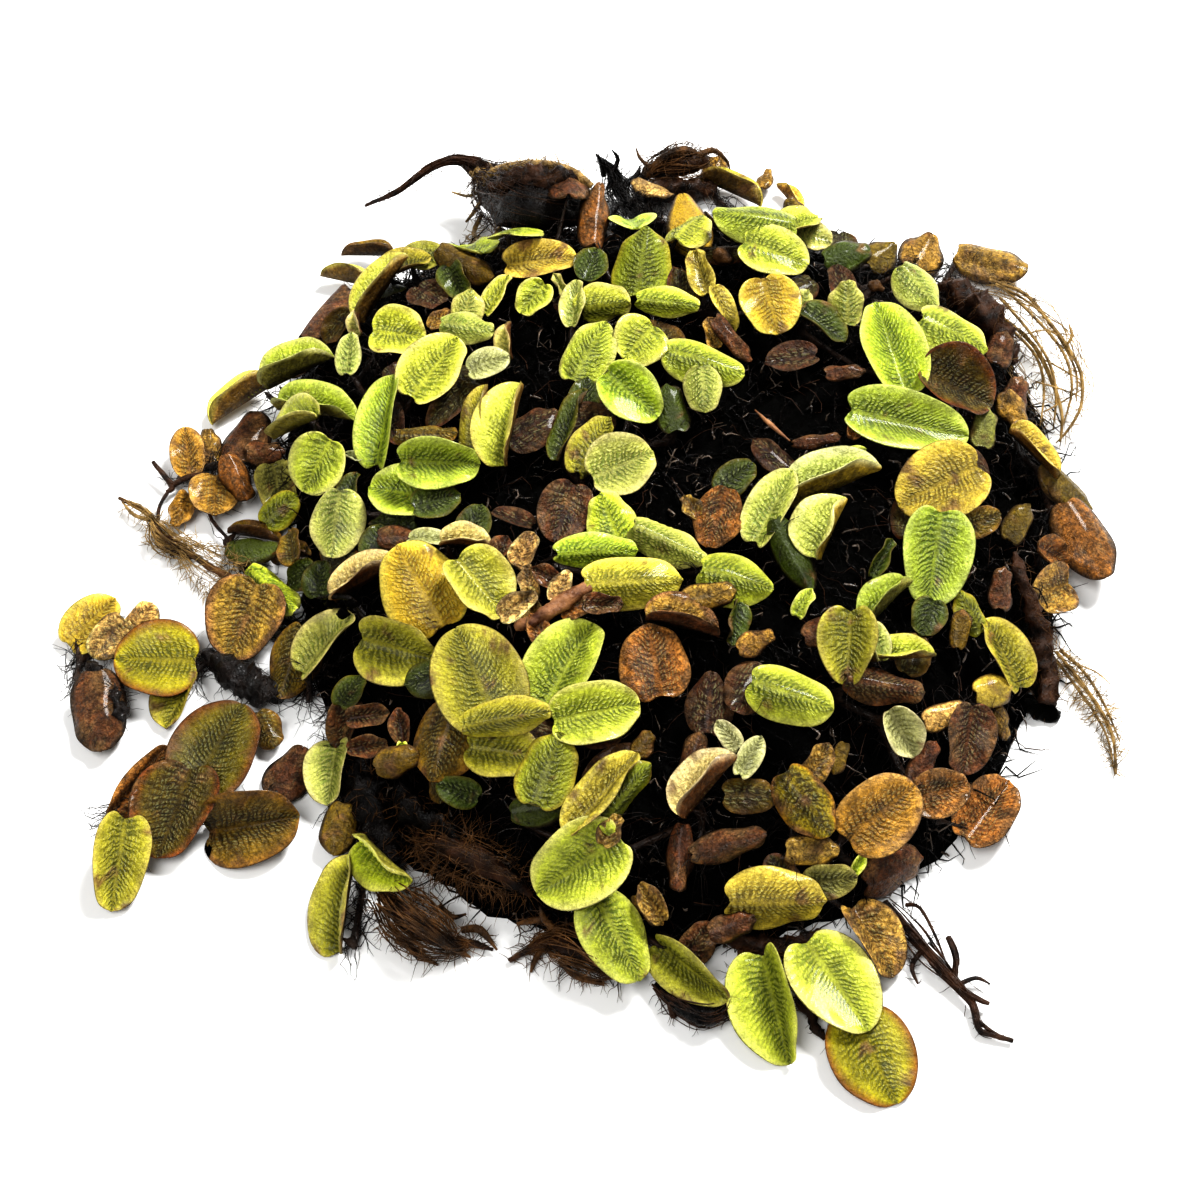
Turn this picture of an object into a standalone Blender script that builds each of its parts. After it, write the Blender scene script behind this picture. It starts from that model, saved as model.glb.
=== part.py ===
"""A heap of water spangles (Salvinia minima) as it lies when it is lifted out of the water.

The heap is a dark mound of tangled roots with sprigs of small round leaves on it. Each sprig is one
grown piece: a creeping stem with a stalk and a folded leaf at every joint. Root plumes and twigs trail
from the rim. Metres, +Z up. The origin is on the surface under the heap, the mound's flat underside.
"""

import math
import random
from itertools import permutations

import bmesh
import bpy
from mathutils import Matrix, Vector
from mathutils.bvhtree import BVHTree

MM = 0.001
SEED = 7

# The view that the leaves' places were measured in
VIEW_ELEVATION = math.radians(55)
VIEW_DISTANCE = 330 * MM
VIEW_TARGET = Vector((0, 0, 8 * MM))
VIEW_MIDDLE = 600
VIEW_PIXEL = 0.145 * MM
VIEW_RIGHT = Vector((1, 0, 0))
VIEW_UP = Vector((0, math.sin(VIEW_ELEVATION), math.cos(VIEW_ELEVATION)))
VIEW_FORWARD = Vector((0, math.cos(VIEW_ELEVATION), -math.sin(VIEW_ELEVATION)))
VIEW_EYE = VIEW_TARGET - VIEW_FORWARD * VIEW_DISTANCE
FRONT = Matrix.Identity(3)
BEHIND = Matrix.Rotation(math.pi, 3, "Z")

# The mound of roots: its rim's distance from its middle every 30 degrees, anticlockwise from +X
MOUND_MIDDLE = (9 * MM, 17 * MM)
MOUND_RIM = [r * MM for r in (61, 67, 68, 65, 67, 66, 55, 57, 67, 69, 68, 61)]
MOUND_HEIGHT = 19 * MM
MOUND_SPOKES = 26
MOUND_RINGS = (0.28, 0.52, 0.72, 0.86, 0.95)

# The layers over the mound
GAP = 0.35 * MM
STEM_LAYER = 1.7 * MM
CANOPY_LIFT = 4.6 * MM
GROUND_LIFT = 2.1 * MM
LEVEL_LIFT = 1.1 * MM
MOUND_EDGE = 5 * MM

# A leaf's proportions
NOTCH = 0.22
NOTCH_ANGLE = 0.42
FIRST_ROW_ANGLE = 0.15
ROW_SWEEP = 0.7
BASE_FULLNESS = 0.1
MARGIN_ROUNDNESS = 0.85
BLADE_ROWS = (0.06, 0.3, 0.58, 0.84)
BLADE_THICKNESS = 0.9 * MM
STALK_HALF = 0.42 * MM
JOINT_HALF = 0.5 * MM
SMALLEST_LEAF = 6.7 * MM

# How a leaf is folded: left and right half's rise from the blade's plane, the halves' curl,
# the arch from base to tip, all in degrees, and 1 with the upper side to the view or -1 with the underside
SHAPES = {
    "flat": (6, 6, 12, 10, 1),
    "dome": (-8, -8, -22, 22, 1),
    "cup": (20, 20, 16, -8, 1),
    "bowl": (32, 32, 25, -25, 1),
    "clam_l": (106, 10, 12, 2, 1),
    "clam_r": (10, 106, 12, 2, 1),
    "shut_l": (118, 16, 10, 2, 1),
    "shut_r": (16, 118, 10, 2, 1),
    "half_l": (86, 6, 10, 6, 1),
    "half_r": (6, 86, 10, 6, 1),
    "open_l": (74, 8, 12, 3, 1),
    "fold_l": (52, 8, 12, 4, 1),
    "fold_r": (8, 52, 12, 4, 1),
    "saddle": (-28, -28, -14, 24, 1),
    "ridge": (-48, -48, -10, 16, 1),
    "roof_l": (-62, -14, -10, 10, 1),
    "roof_r": (-14, -62, -10, 10, 1),
    "sliver": (66, 66, 6, 2, 1),
    "back": (20, 20, 20, -20, -1),
    "back_fold": (48, 48, 10, -8, -1),
}

# The leaves by sprig. Columns: place in the view (across, down), length and width in mm,
# the way the tip points in the view in degrees (0 right, 90 up), fold, tint, level in the heap
SPRIGS = {
    "back_left_sprig_1": [
        (363, 252, 8.4, 5.8, 178, "shut_l", "olive", 1),
        (340, 276, 8.0, 6.6, 165, "shut_l", "lime_brown", 1),
        (384, 282, 12.4, 9.2, 50, "clam_r", "lime_brown", 2),
        (327, 310, 11.8, 10.4, 55, "back", "brown", 1),
    ],
    "back_left_sprig_2": [
        (301, 365, 11.8, 11.8, 25, "clam_r", "lime", 2),
        (236, 402, 11.4, 9.6, 215, "shut_l", "lime_brown", 1),
        (320, 410, 13.6, 10.2, -10, "clam_r", "green", 1),
        (288, 426, 13.6, 9.0, 190, "clam_l", "lime", 2),
    ],
    "left_sprig_1": [
        (249, 433, 9.6, 8.2, 70, "back", "brown", 1),
        (268, 452, 6.0, 4.6, 10, "back", "brown", 0),
        (278, 491, 9.2, 6.8, 285, "cup", "grey", 1),
        (315, 469, 8.8, 9.4, 240, "flat", "lime", 2),
        (350, 487, 5.5, 4.2, 70, "fold_r", "deep", 0),
    ],
    "left_sprig_2": [
        (187, 448, 8.3, 5.4, 100, "flat", "gold", 1),
        (209, 445, 6.2, 4.4, 100, "back", "tan", 0),
        (215, 497, 7.6, 7.8, 275, "flat", "gold", 1),
        (239, 481, 8.4, 6.2, 300, "back_fold", "rust", 1),
        (181, 511, 6.0, 4.4, 250, "fold_r", "gold", 0),
    ],
    "left_sprig_3": [
        (397, 491, 10.4, 8.6, 170, "cup", "bright", 1),
        (336, 528, 10.2, 8.4, 265, "dome", "pale", 2),
        (378, 541, 5.6, 5.2, 80, "flat", "deep", 0),
        (400, 537, 5.6, 4.2, 0, "back", "brown", 0),
        (361, 457, 4.2, 2.6, -15, "sliver", "cream", 0),
    ],
    "left_sprig_4": [
        (259, 534, 8.2, 5.2, -10, "clam_r", "olive", 0),
        (257, 549, 8.4, 6.0, -5, "back", "deep", 1),
        (294, 555, 6.6, 6.2, 10, "clam_r", "olive", 1),
        (277, 594, 12.6, 6.8, -45, "ridge", "bright", 2),
        (320, 577, 5.6, 5.2, 80, "flat", "deep", 0),
    ],
    "crown_sprig_1": [
        (349, 350, 6.8, 3.9, 85, "flat", "pale", 1),
        (357, 319, 4.8, 4.2, 100, "clam_r", "pale_brown", 1),
        (383, 413, 14.0, 8.8, 80, "fold_r", "bright", 2),
        (401, 333, 8.4, 8.8, -8, "cup", "lime", 1),
        (437, 362, 11.8, 9.6, 55, "cup", "lime", 2),
    ],
    "crown_sprig_2": [
        (431, 435, 9.2, 5.0, 0, "roof_l", "olive", 1),
        (445, 463, 11.6, 8.4, 0, "fold_l", "green", 2),
        (477, 422, 12.8, 7.0, 84, "half_r", "olive_lime", 1),
        (512, 416, 13.4, 12.0, 80, "clam_r", "lime_brown", 2),
    ],
    "crown_sprig_3": [
        (468, 305, 6.2, 5.2, 80, "dome", "pale", 1),
        (471, 328, 8.2, 5.6, -8, "saddle", "pale", 2),
        (498, 291, 7.2, 4.2, 60, "fold_r", "lime", 1),
        (508, 337, 6.2, 5.4, 95, "clam_r", "pale_brown", 1),
        (491, 362, 6.4, 4.8, 20, "flat", "cream", 2),
    ],
    "crown_sprig_4": [
        (531, 300, 6.0, 5.4, 230, "cup", "lime", 2),
        (560, 284, 5.2, 2.6, 120, "sliver", "pale", 1),
        (574, 299, 8.0, 4.6, 85, "fold_r", "pale", 1),
        (592, 348, 10.2, 7.8, 60, "dome", "lime", 2),
        (607, 304, 8.8, 7.4, 0, "roof_r", "lime", 1),
    ],
    "crown_sprig_5": [
        (637, 344, 7.2, 8.4, 230, "flat", "lime", 2),
        (635, 397, 10.0, 8.4, -40, "cup", "bright", 2),
        (671, 405, 7.8, 5.4, 100, "back", "deep", 0),
        (627, 462, 9.8, 9.6, 25, "cup", "pale", 2),
    ],
    "crown_sprig_6": [
        (570, 418, 11.4, 5.6, 70, "half_r", "deep", 1),
        (594, 442, 9.8, 7.0, 62, "roof_r", "olive_lime", 1),
        (563, 516, 8.8, 7.6, 250, "flat", "brown", 0),
        (526, 547, 5.6, 4.8, 60, "bowl", "pink", 0),
        (530, 606, 6.2, 4.2, 100, "bowl", "pink", 0),
    ],
    "back_sprig_1": [
        (430, 257, 7.6, 5.6, 0, "cup", "olive_lime", 1),
        (470, 267, 10.6, 8.0, -32, "back_fold", "olive", 1),
        (456, 282, 6.6, 5.4, -60, "fold_l", "deep", 0),
        (546, 259, 11.2, 7.0, 10, "cup", "straw", 1),
        (592, 262, 6.2, 5.6, 70, "cup", "deep", 0),
    ],
    "back_sprig_2": [
        (596, 213, 11.6, 7.6, 85, "back_fold", "rust", 1),
        (643, 259, 11.8, 10.8, 82, "saddle", "olive_green", 2),
    ],
    "back_sprig_3": [
        (657, 190, 7.4, 6.2, -25, "back", "pink", 1),
        (688, 220, 11.6, 7.6, 100, "back", "gold", 1),
        (699, 268, 8.2, 4.6, 105, "fold_r", "straw", 1),
    ],
    "back_sprig_4": [
        (737, 190, 10.8, 8.4, -25, "shut_r", "olive_lime", 1),
        (748, 220, 13.0, 9.4, 176, "saddle", "green", 2),
        (780, 254, 10.6, 8.2, -20, "flat", "lime", 2),
        (716, 166, 5.2, 4.6, 60, "back", "tan", 0),
        (703, 183, 5.0, 3.2, 45, "back", "olive", 0),
    ],
    "back_sprig_5": [
        (766, 178, 4.2, 2.8, 70, "back", "tan", 0),
        (787, 194, 6.2, 4.8, 125, "shut_l", "gold", 0),
        (795, 212, 6.0, 4.6, 120, "back", "olive", 0),
        (816, 237, 6.0, 5.2, -20, "flat", "pale", 1),
    ],
    "back_sprig_6": [
        (850, 254, 7.6, 6.0, 10, "back", "deep", 1),
        (883, 254, 6.2, 6.0, 40, "back", "olive", 1),
        (924, 250, 7.8, 8.2, 60, "back", "tan", 1),
        (920, 290, 8.6, 7.8, -50, "saddle", "pale", 2),
        (847, 300, 6.8, 6.4, 90, "saddle", "pale", 2),
    ],
    "back_right_sprig": [
        (997, 263, 12.0, 8.8, -20, "back", "tan", 1),
        (958, 337, 11.4, 8.4, -25, "dome", "lime", 1),
        (890, 339, 15.4, 10.4, 104, "cup", "bright", 2),
        (827, 326, 8.2, 7.0, -35, "fold_r", "deep", 0),
    ],
    "right_sprig_1": [
        (964, 387, 12.6, 13.4, -25, "bowl", "rimmed_dark", 2),
        (917, 424, 18.0, 9.6, -12, "cup", "green", 2),
        (1015, 411, 6.0, 5.2, -60, "back", "tan", 0),
        (1002, 346, 6.2, 5.2, 70, "back", "brown", 0),
        (1018, 390, 5.4, 4.6, 70, "back", "brown", 0),
    ],
    "right_sprig_2": [
        (934, 487, 13.4, 11.0, 205, "flat", "straw", 2),
        (935, 564, 13.8, 10.8, 262, "cup", "green", 1),
        (927, 620, 5.4, 5.0, 250, "flat", "deep", 0),
        (961, 626, 5.6, 3.4, 80, "back", "olive", 0),
    ],
    "right_sprig_3": [
        (1041, 454, 10.6, 8.0, -40, "half_r", "straw", 1),
        (1070, 490, 10.2, 8.6, -45, "back", "olive", 0),
        (1088, 545, 13.4, 9.4, -65, "back", "rust", 1),
    ],
    "right_sprig_4": [
        (1057, 556, 7.6, 6.2, -20, "bowl", "rust", 0),
        (1051, 591, 8.2, 8.2, 200, "cup", "tan", 1),
    ],
    "right_sprig_5": [
        (775, 500, 11.8, 7.6, 62, "fold_r", "pale", 1),
        (841, 482, 14.0, 12.0, 22, "shut_r", "pale_gold", 2),
        (832, 522, 9.6, 12.2, 66, "clam_r", "pale_gold", 2),
        (796, 560, 11.6, 7.0, -65, "back_fold", "deep", 0),
    ],
    "right_sprig_6": [
        (893, 597, 9.0, 8.4, 45, "shut_r", "green", 1),
        (884, 555, 6.2, 3.8, 60, "sliver", "deep", 0),
        (848, 651, 10.6, 9.2, 265, "fold_l", "olive_lime", 2),
        (906, 655, 9.8, 7.0, 5, "clam_r", "lime_brown", 1),
        (877, 637, 5.8, 4.0, 100, "fold_l", "pale", 0),
    ],
    "right_sprig_7": [
        (1003, 648, 11.0, 8.0, 115, "fold_l", "olive_lime", 1),
        (996, 690, 6.0, 5.4, 10, "back", "straw", 1),
        (948, 714, 6.8, 4.0, 20, "back", "pink", 0),
        (968, 744, 9.8, 7.8, 262, "cup", "brown", 1),
        (1003, 726, 4.8, 2.8, 285, "back", "tan", 0),
    ],
    "centre_sprig_1": [
        (797, 698, 11.8, 8.8, -20, "saddle", "green", 2),
        (889, 687, 11.2, 7.0, -10, "ridge", "brown", 1),
        (905, 736, 7.4, 7.0, -60, "bowl", "cream", 1),
        (926, 760, 6.8, 3.8, 60, "back", "brown", 0),
        (839, 761, 4.6, 2.6, 250, "back", "olive", 0),
    ],
    "front_right_sprig_1": [
        (886, 809, 11.6, 10.0, 40, "flat", "amber", 2),
        (810, 808, 10.4, 8.4, -55, "saddle", "fading", 1),
        (816, 851, 7.2, 5.0, 0, "back", "tan", 0),
        (897, 869, 9.6, 8.2, 20, "back", "brown", 0),
    ],
    "front_right_sprig_2": [
        (945, 791, 8.4, 7.0, 15, "cup", "rust", 1),
        (991, 804, 12.2, 8.6, 48, "cup", "rust", 1),
    ],
    "front_right_sprig_3": [
        (841, 990, 15.0, 10.6, -57, "flat", "lime", 2),
        (877, 1064, 12.8, 10.8, -62, "flat", "rimmed_lime", 0),
        (773, 1014, 15.2, 12.8, 283, "open_l", "green", 1),
    ],
    "front_right_sprig_4": [
        (783, 900, 13.4, 9.6, 0, "saddle", "straw", 2),
        (877, 944, 11.0, 9.2, -60, "fold_r", "tan", 1),
    ],
    "front_sprig_1": [
        (693, 975, 12.6, 8.4, -40, "half_l", "olive_lime", 1),
        (619, 943, 13.0, 8.8, -58, "dome", "green", 2),
        (652, 911, 5.4, 3.6, -50, "back", "tan", 0),
        (680, 862, 8.8, 5.4, 265, "back_fold", "brown", 0),
        (572, 870, 13.8, 11.6, 215, "cup", "lime", 2),
    ],
    "front_sprig_2": [
        (733, 843, 10.4, 6.0, 15, "back_fold", "brown", 1),
        (712, 781, 10.8, 10.4, 50, "shut_r", "cream_brown", 2),
        (694, 757, 7.8, 5.4, 75, "back_fold", "brown", 0),
        (726, 733, 4.8, 3.0, 130, "flat", "cream", 1),
        (752, 753, 6.0, 3.4, 60, "flat", "cream", 1),
    ],
    "front_sprig_3": [
        (607, 785, 13.6, 7.6, 50, "half_r", "straw", 2),
        (627, 789, 10.4, 6.4, 50, "roof_r", "olive_green", 1),
        (550, 764, 10.2, 8.0, 70, "dome", "olive_green", 2),
        (545, 808, 8.2, 5.2, 10, "back", "deep", 0),
        (645, 742, 3.8, 3.2, 60, "back", "olive", 1),
    ],
    "centre_sprig_2": [
        (474, 670, 15.0, 12.4, 115, "flat", "olive_lime", 2),
        (443, 747, 11.2, 11.0, 255, "saddle", "olive", 1),
        (512, 717, 12.2, 6.6, 10, "roof_r", "olive_lime", 2),
        (508, 752, 10.2, 8.0, -8, "cup", "olive_lime", 1),
    ],
    "centre_sprig_3": [
        (570, 657, 13.2, 11.4, 60, "fold_r", "green", 1),
        (602, 711, 12.0, 9.0, 12, "cup", "lime", 2),
        (653, 656, 10.2, 9.8, 100, "dome", "rust", 1),
        (689, 624, 10.3, 9.4, -10, "clam_r", "amber_brown", 1),
    ],
    "centre_sprig_4": [
        (417, 581, 13.6, 11.8, 120, "dome", "gold", 2),
        (484, 588, 10.6, 10.4, -50, "fold_r", "straw_lime", 1),
        (401, 651, 11.0, 11.2, -15, "fold_l", "olive_lime", 1),
        (369, 575, 11.0, 8.8, 32, "clam_r", "cream_brown", 1),
        (470, 542, 7.2, 6.6, 0, "clam_r", "cream_brown", 1),
    ],
    "centre_sprig_5": [
        (609, 516, 8.2, 7.0, 110, "dome", "bright", 1),
        (602, 551, 11.4, 6.0, 4, "roof_r", "bright", 2),
        (640, 582, 13.6, 8.8, 4, "saddle", "straw_lime", 2),
        (673, 546, 11.2, 8.4, -25, "ridge", "pale", 1),
        (741, 581, 10.4, 8.6, -15, "saddle", "green", 1),
    ],
    "centre_sprig_7": [
        (716, 522, 9.4, 7.8, 250, "saddle", "rust", 0),
        (713, 595, 7.6, 4.4, 10, "back", "tan", 1),
        (758, 641, 5.4, 3.6, 25, "back", "tan", 0),
        (736, 626, 6.2, 4.6, 260, "half_r", "deep", 0),
    ],
    "crown_sprig_7": [
        (710, 365, 12.0, 7.8, -17, "saddle", "lime", 2),
        (703, 393, 7.0, 6.4, 272, "saddle", "pale", 2),
        (672, 303, 9.6, 5.6, -8, "roof_r", "lime", 1),
        (772, 309, 9.2, 9.2, 285, "flat", "gold", 2),
        (726, 311, 7.6, 3.8, -65, "fold_r", "straw", 0),
    ],
    "far_left_sprig_1": [
        (95, 618, 9.6, 7.4, 45, "flat", "gold", 1),
        (106, 640, 7.2, 6.2, 230, "dome", "pink", 1),
        (150, 659, 11.6, 11.4, 180, "flat", "rimmed_lime", 2),
        (143, 618, 6.2, 5.0, 60, "dome", "pink", 0),
        (99, 717, 12.6, 8.6, 280, "back", "brown", 1),
    ],
    "far_left_sprig_2": [
        (242, 624, 12.2, 12.2, 250, "cup", "rust", 2),
        (291, 667, 11.2, 8.6, 250, "saddle", "olive", 1),
        (327, 638, 11.4, 8.8, 50, "fold_r", "pale", 2),
        (174, 703, 9.0, 8.4, 250, "fold_l", "olive_lime", 0),
    ],
    "front_left_sprig_1": [
        (220, 741, 14.4, 12.0, 60, "flat", "rimmed_olive", 2),
        (147, 776, 12.6, 7.6, 55, "half_l", "rust", 0),
        (171, 816, 14.4, 12.8, 255, "cup", "rimmed_dark", 1),
        (268, 733, 6.2, 5.2, -60, "saddle", "olive", 0),
        (118, 869, 13.2, 9.0, 265, "fold_r", "olive_lime", 1),
    ],
    "front_left_sprig_2": [
        (257, 824, 13.4, 12.4, 5, "fold_l", "olive", 1),
        (291, 769, 8.2, 7.0, 60, "back", "brown", 0),
    ],
    "front_left_sprig_3": [
        (329, 776, 9.6, 8.2, 265, "fold_l", "pale", 2),
        (338, 833, 7.6, 5.8, 260, "back", "olive", 1),
        (341, 893, 14.4, 10.4, 84, "half_r", "olive_lime", 1),
        (386, 862, 10.8, 10.2, -45, "clam_l", "bright", 2),
        (344, 728, 7.6, 6.8, 250, "bowl", "brown", 1),
        (370, 715, 6.2, 4.4, 10, "bowl", "brown", 0),
        (369, 746, 5.8, 4.0, 10, "bowl", "brown", 0),
        (400, 757, 3.6, 2.4, 260, "fold_r", "bright", 1),
        (352, 688, 5.4, 4.4, 60, "flat", "deep", 0),
    ],
}

# Leaves on the far slope, which the view doesn't show: the same columns in the view from behind
FAR_SPRIGS = {
    "far_slope_sprig_1": [
        (700, 930, 10.0, 8.4, 250, "dome", "lime", 2),
        (762, 958, 9.2, 8.0, 300, "cup", "green", 1),
        (835, 935, 8.6, 7.4, 200, "fold_l", "olive_lime", 1),
        (640, 985, 8.4, 7.0, 270, "back", "brown", 1),
    ],
    "far_slope_sprig_2": [
        (560, 968, 9.0, 7.8, 275, "cup", "bright", 2),
        (486, 945, 9.4, 7.8, 240, "saddle", "lime", 2),
        (410, 948, 8.4, 7.0, 300, "dome", "green", 1),
        (345, 965, 8.0, 6.8, 220, "fold_l", "lime_brown", 1),
    ],
}

# Roots that trail from the heap. Columns: place in the view, radius in mm,
# height over what it lies on in mm, from one end to the other
ROOTS = {
    "back_left_root": [
        (366, 205, 0.4, 3),
        (398, 191, 0.6, 7),
        (430, 168, 0.9, 9),
        (456, 160, 1.1, 9),
        (480, 169, 1.9, 6.5),
        (499, 194, 5.2, 3),
        (530, 207, 6.5, 2),
        (561, 207, 5.4, 2),
        (585, 204, 2.4, 3),
    ],
    "back_root_tuft": [
        (641, 178, 1.2, 1),
        (660, 168, 3.0, 1),
        (682, 164, 4.0, 1),
        (700, 162, 2.6, 2),
        (706, 152, 0.9, 4),
    ],
    "back_dark_root": [
        (598, 158, 0.6, 5),
        (612, 172, 1.5, 3),
        (622, 196, 2.7, 1),
        (640, 222, 2.4, 0),
        (650, 236, 1.2, 0),
    ],
    "right_root_plume": [
        (968, 300, 2.4, 0),
        (1000, 316, 4.6, 0),
        (1034, 346, 6.4, 0),
        (1053, 384, 5.6, 0),
        (1062, 416, 3.4, 0),
        (1060, 442, 0.9, 0),
    ],
    "right_feather_root": [
        (1056, 652, 0.9, 0.5),
        (1078, 678, 0.9, 0.8),
        (1098, 706, 0.8, 0.8),
        (1113, 738, 0.6, 0.4),
        (1116, 774, 0.35, 0),
    ],
    "front_left_plume": [
        (384, 892, 2.6, 0),
        (404, 914, 4.4, 0),
        (430, 932, 4.2, 0),
        (452, 944, 2.2, 0),
        (474, 944, 0.9, 0),
        (493, 950, 0.4, 0),
    ],
    "front_hairy_root": [
        (418, 834, 1.6, 0),
        (446, 848, 3.6, 0),
        (480, 862, 3.8, 0),
        (508, 878, 2.4, 0),
        (532, 896, 0.8, 0),
    ],
    "front_root_feet": [
        (624, 974, 1.4, 0),
        (598, 960, 3.0, 0),
        (570, 946, 3.4, 0),
        (546, 942, 1.8, 0),
        (528, 950, 1.0, 0),
        (509, 961, 0.4, 0),
    ],
    "front_dark_root": [
        (656, 984, 1.0, 0),
        (678, 1002, 1.9, 0),
        (704, 1014, 2.2, 0),
        (728, 1004, 1.8, 0),
        (740, 984, 1.0, 0),
    ],
    "left_root": [
        (119, 498, 0.35, 1),
        (148, 514, 0.8, 1),
        (162, 537, 2.4, 0),
        (184, 549, 2.0, 0),
        (208, 566, 3.4, 0),
        (232, 580, 3.8, 0),
        (246, 592, 1.8, 0),
    ],
    "left_twig": [
        (153, 462, 0.5, 2),
        (172, 483, 0.8, 1),
        (186, 478, 0.7, 1),
        (200, 474, 0.5, 1),
    ],
    "front_twig": [
        (884, 903, 1.5, 0),
        (908, 930, 1.8, 0),
        (934, 960, 1.6, 0),
        (958, 986, 1.2, 0),
        (973, 1006, 1.0, 0),
        (979, 1029, 0.8, 0),
        (996, 1036, 0.6, 0),
        (1013, 1041, 0.35, 0),
    ],
}
SIDE_TWIGS = {
    "front_twig": [
        [(948, 937, 0.5, 1.5), (956, 958, 0.7, 1.2), (954, 980, 0.8, 0.4)],
        [(956, 986, 0.8, 0.4), (972, 996, 0.7, 0.8), (989, 1004, 0.5, 0.6)],
    ],
}
ROOT_SIDES = 5
ROOT_STEPS = 1

# How far blades face the view over the mound and beside it, and how many degrees they stray
FACING_MOUND = 0.6
FACING_GROUND = 0.25
TURN_SPREAD = 7

# Tried in turn until a blade is clear: tilts in degrees about its width and its length, after each lift
TILT_TRIES = [(0, 0), (9, 0), (-9, 0), (0, 12), (0, -12), (17, 8), (-17, -8)]
LIFT_STEP = 0.5 * MM
LIFT_TRIES = 24

# The joint under each leaf: how far from the stalk's top in mm, and how the stem may run
FOOT_REACHES = (0.8, 2.0, 3.4, 5.0, 6.8, 9.0)
FOOT_TURNS = 10
ROUTE_TRIES = 150
LEAST_JOINT_SPACING = 2.4 * MM
STEM_RISE = 1.1 * MM
STEM_STEP = 9 * MM
SHARP_TURN = 0.2
SHARP_TURN_COST = 3 * MM
SHARPEST_STALK = -0.7
SHARPEST_FORK = 0.88
STALK_BEHIND_GAIN = 0.3
LONGEST_MITRE = 1.5

# The colour of each tint
TINTS = {
    "lime": (0.50, 0.62, 0.06),
    "lime_brown": (0.50, 0.60, 0.07),
    "bright": (0.34, 0.60, 0.05),
    "green": (0.24, 0.42, 0.04),
    "pale": (0.50, 0.66, 0.22),
    "pale_brown": (0.50, 0.62, 0.22),
    "pale_gold": (0.56, 0.60, 0.14),
    "cream": (0.70, 0.72, 0.40),
    "cream_brown": (0.66, 0.60, 0.26),
    "straw": (0.56, 0.46, 0.12),
    "straw_lime": (0.50, 0.50, 0.09),
    "gold": (0.70, 0.48, 0.10),
    "amber": (0.66, 0.34, 0.06),
    "amber_brown": (0.62, 0.38, 0.07),
    "fading": (0.30, 0.28, 0.07),
    "olive_lime": (0.34, 0.38, 0.06),
    "olive_green": (0.22, 0.32, 0.06),
    "olive": (0.22, 0.18, 0.05),
    "rimmed_lime": (0.42, 0.44, 0.09),
    "rimmed_olive": (0.30, 0.34, 0.06),
    "rimmed_dark": (0.17, 0.15, 0.05),
    "deep": (0.07, 0.10, 0.03),
    "grey": (0.22, 0.24, 0.14),
    "tan": (0.46, 0.26, 0.11),
    "pink": (0.48, 0.26, 0.16),
    "rust": (0.42, 0.18, 0.05),
    "brown": (0.20, 0.09, 0.04),
}
LEAF_ROUGHNESS = 0.38
ROOT_COLOUR = (0.020, 0.012, 0.008)
ROOT_ROUGHNESS = 0.3
PLUME_COLOUR = (0.16, 0.075, 0.025)
PLUME_ROUGHNESS = 0.5
DARK_ROOTS = ("root_mound", "back_dark_root", "front_dark_root", "front_twig", "left_twig")


class Leaf:
    """One leaf of the table, with its sizes in metres and its number in the whole heap."""

    def __init__(self, sprig, number, row, view=FRONT):
        self.sprig, self.number, self.view = sprig, number, view
        self.across, self.down, length, width, self.spin, self.shape, self.tint, self.level = row
        self.length, self.width = length * MM, width * MM
        chance = random.Random(SEED + number)
        self.turn = [chance.uniform(-TURN_SPREAD, TURN_SPREAD) for _ in range(2)]


def all_leaves():
    """The heap's leaves in the table's order."""
    leaves = []
    for table, view in ((SPRIGS, FRONT), (FAR_SPRIGS, BEHIND)):
        for sprig, rows in table.items():
            for row in rows:
                leaves.append(Leaf(sprig, len(leaves), row, view))
    return leaves


def view_ray(across, down):
    """The direction from the eye through a point of the view."""
    ray = VIEW_FORWARD * VIEW_DISTANCE
    ray += VIEW_RIGHT * (across - VIEW_MIDDLE) * VIEW_PIXEL
    ray += VIEW_UP * (VIEW_MIDDLE - down) * VIEW_PIXEL
    return ray.normalized()


def rim_radius(angle):
    """How far the mound reaches that way, on a smooth closed curve through MOUND_RIM."""
    count = len(MOUND_RIM)
    place = (angle / math.tau * count) % count
    step = int(place)
    t = place - step
    a, b, c, d = (MOUND_RIM[(step + k) % count] for k in (-1, 0, 1, 2))
    return b + 0.5 * t * (c - a + t * (2 * a - 5 * b + 4 * c - d + t * (3 * b - a - 3 * c + d)))


def mound_height(x, y):
    """The mound's height over the surface it lies on, 0 beside it."""
    dx, dy = x - MOUND_MIDDLE[0], y - MOUND_MIDDLE[1]
    reach = math.hypot(dx, dy) / rim_radius(math.atan2(dy, dx))
    if reach >= 1:
        return 0.0
    return MOUND_HEIGHT * (1 - reach**3) ** 0.75


def over_mound(x, y):
    """0 beside the mound, rising to 1 where it is as high as MOUND_EDGE."""
    return min(1.0, mound_height(x, y) / MOUND_EDGE)


def surface_normal(x, y):
    """The way up from the mound, or from the surface beside it."""
    step = 1.5 * MM
    slope_x = (mound_height(x + step, y) - mound_height(x - step, y)) / (2 * step)
    slope_y = (mound_height(x, y + step) - mound_height(x, y - step)) / (2 * step)
    return Vector((-slope_x, -slope_y, 1)).normalized()


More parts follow.
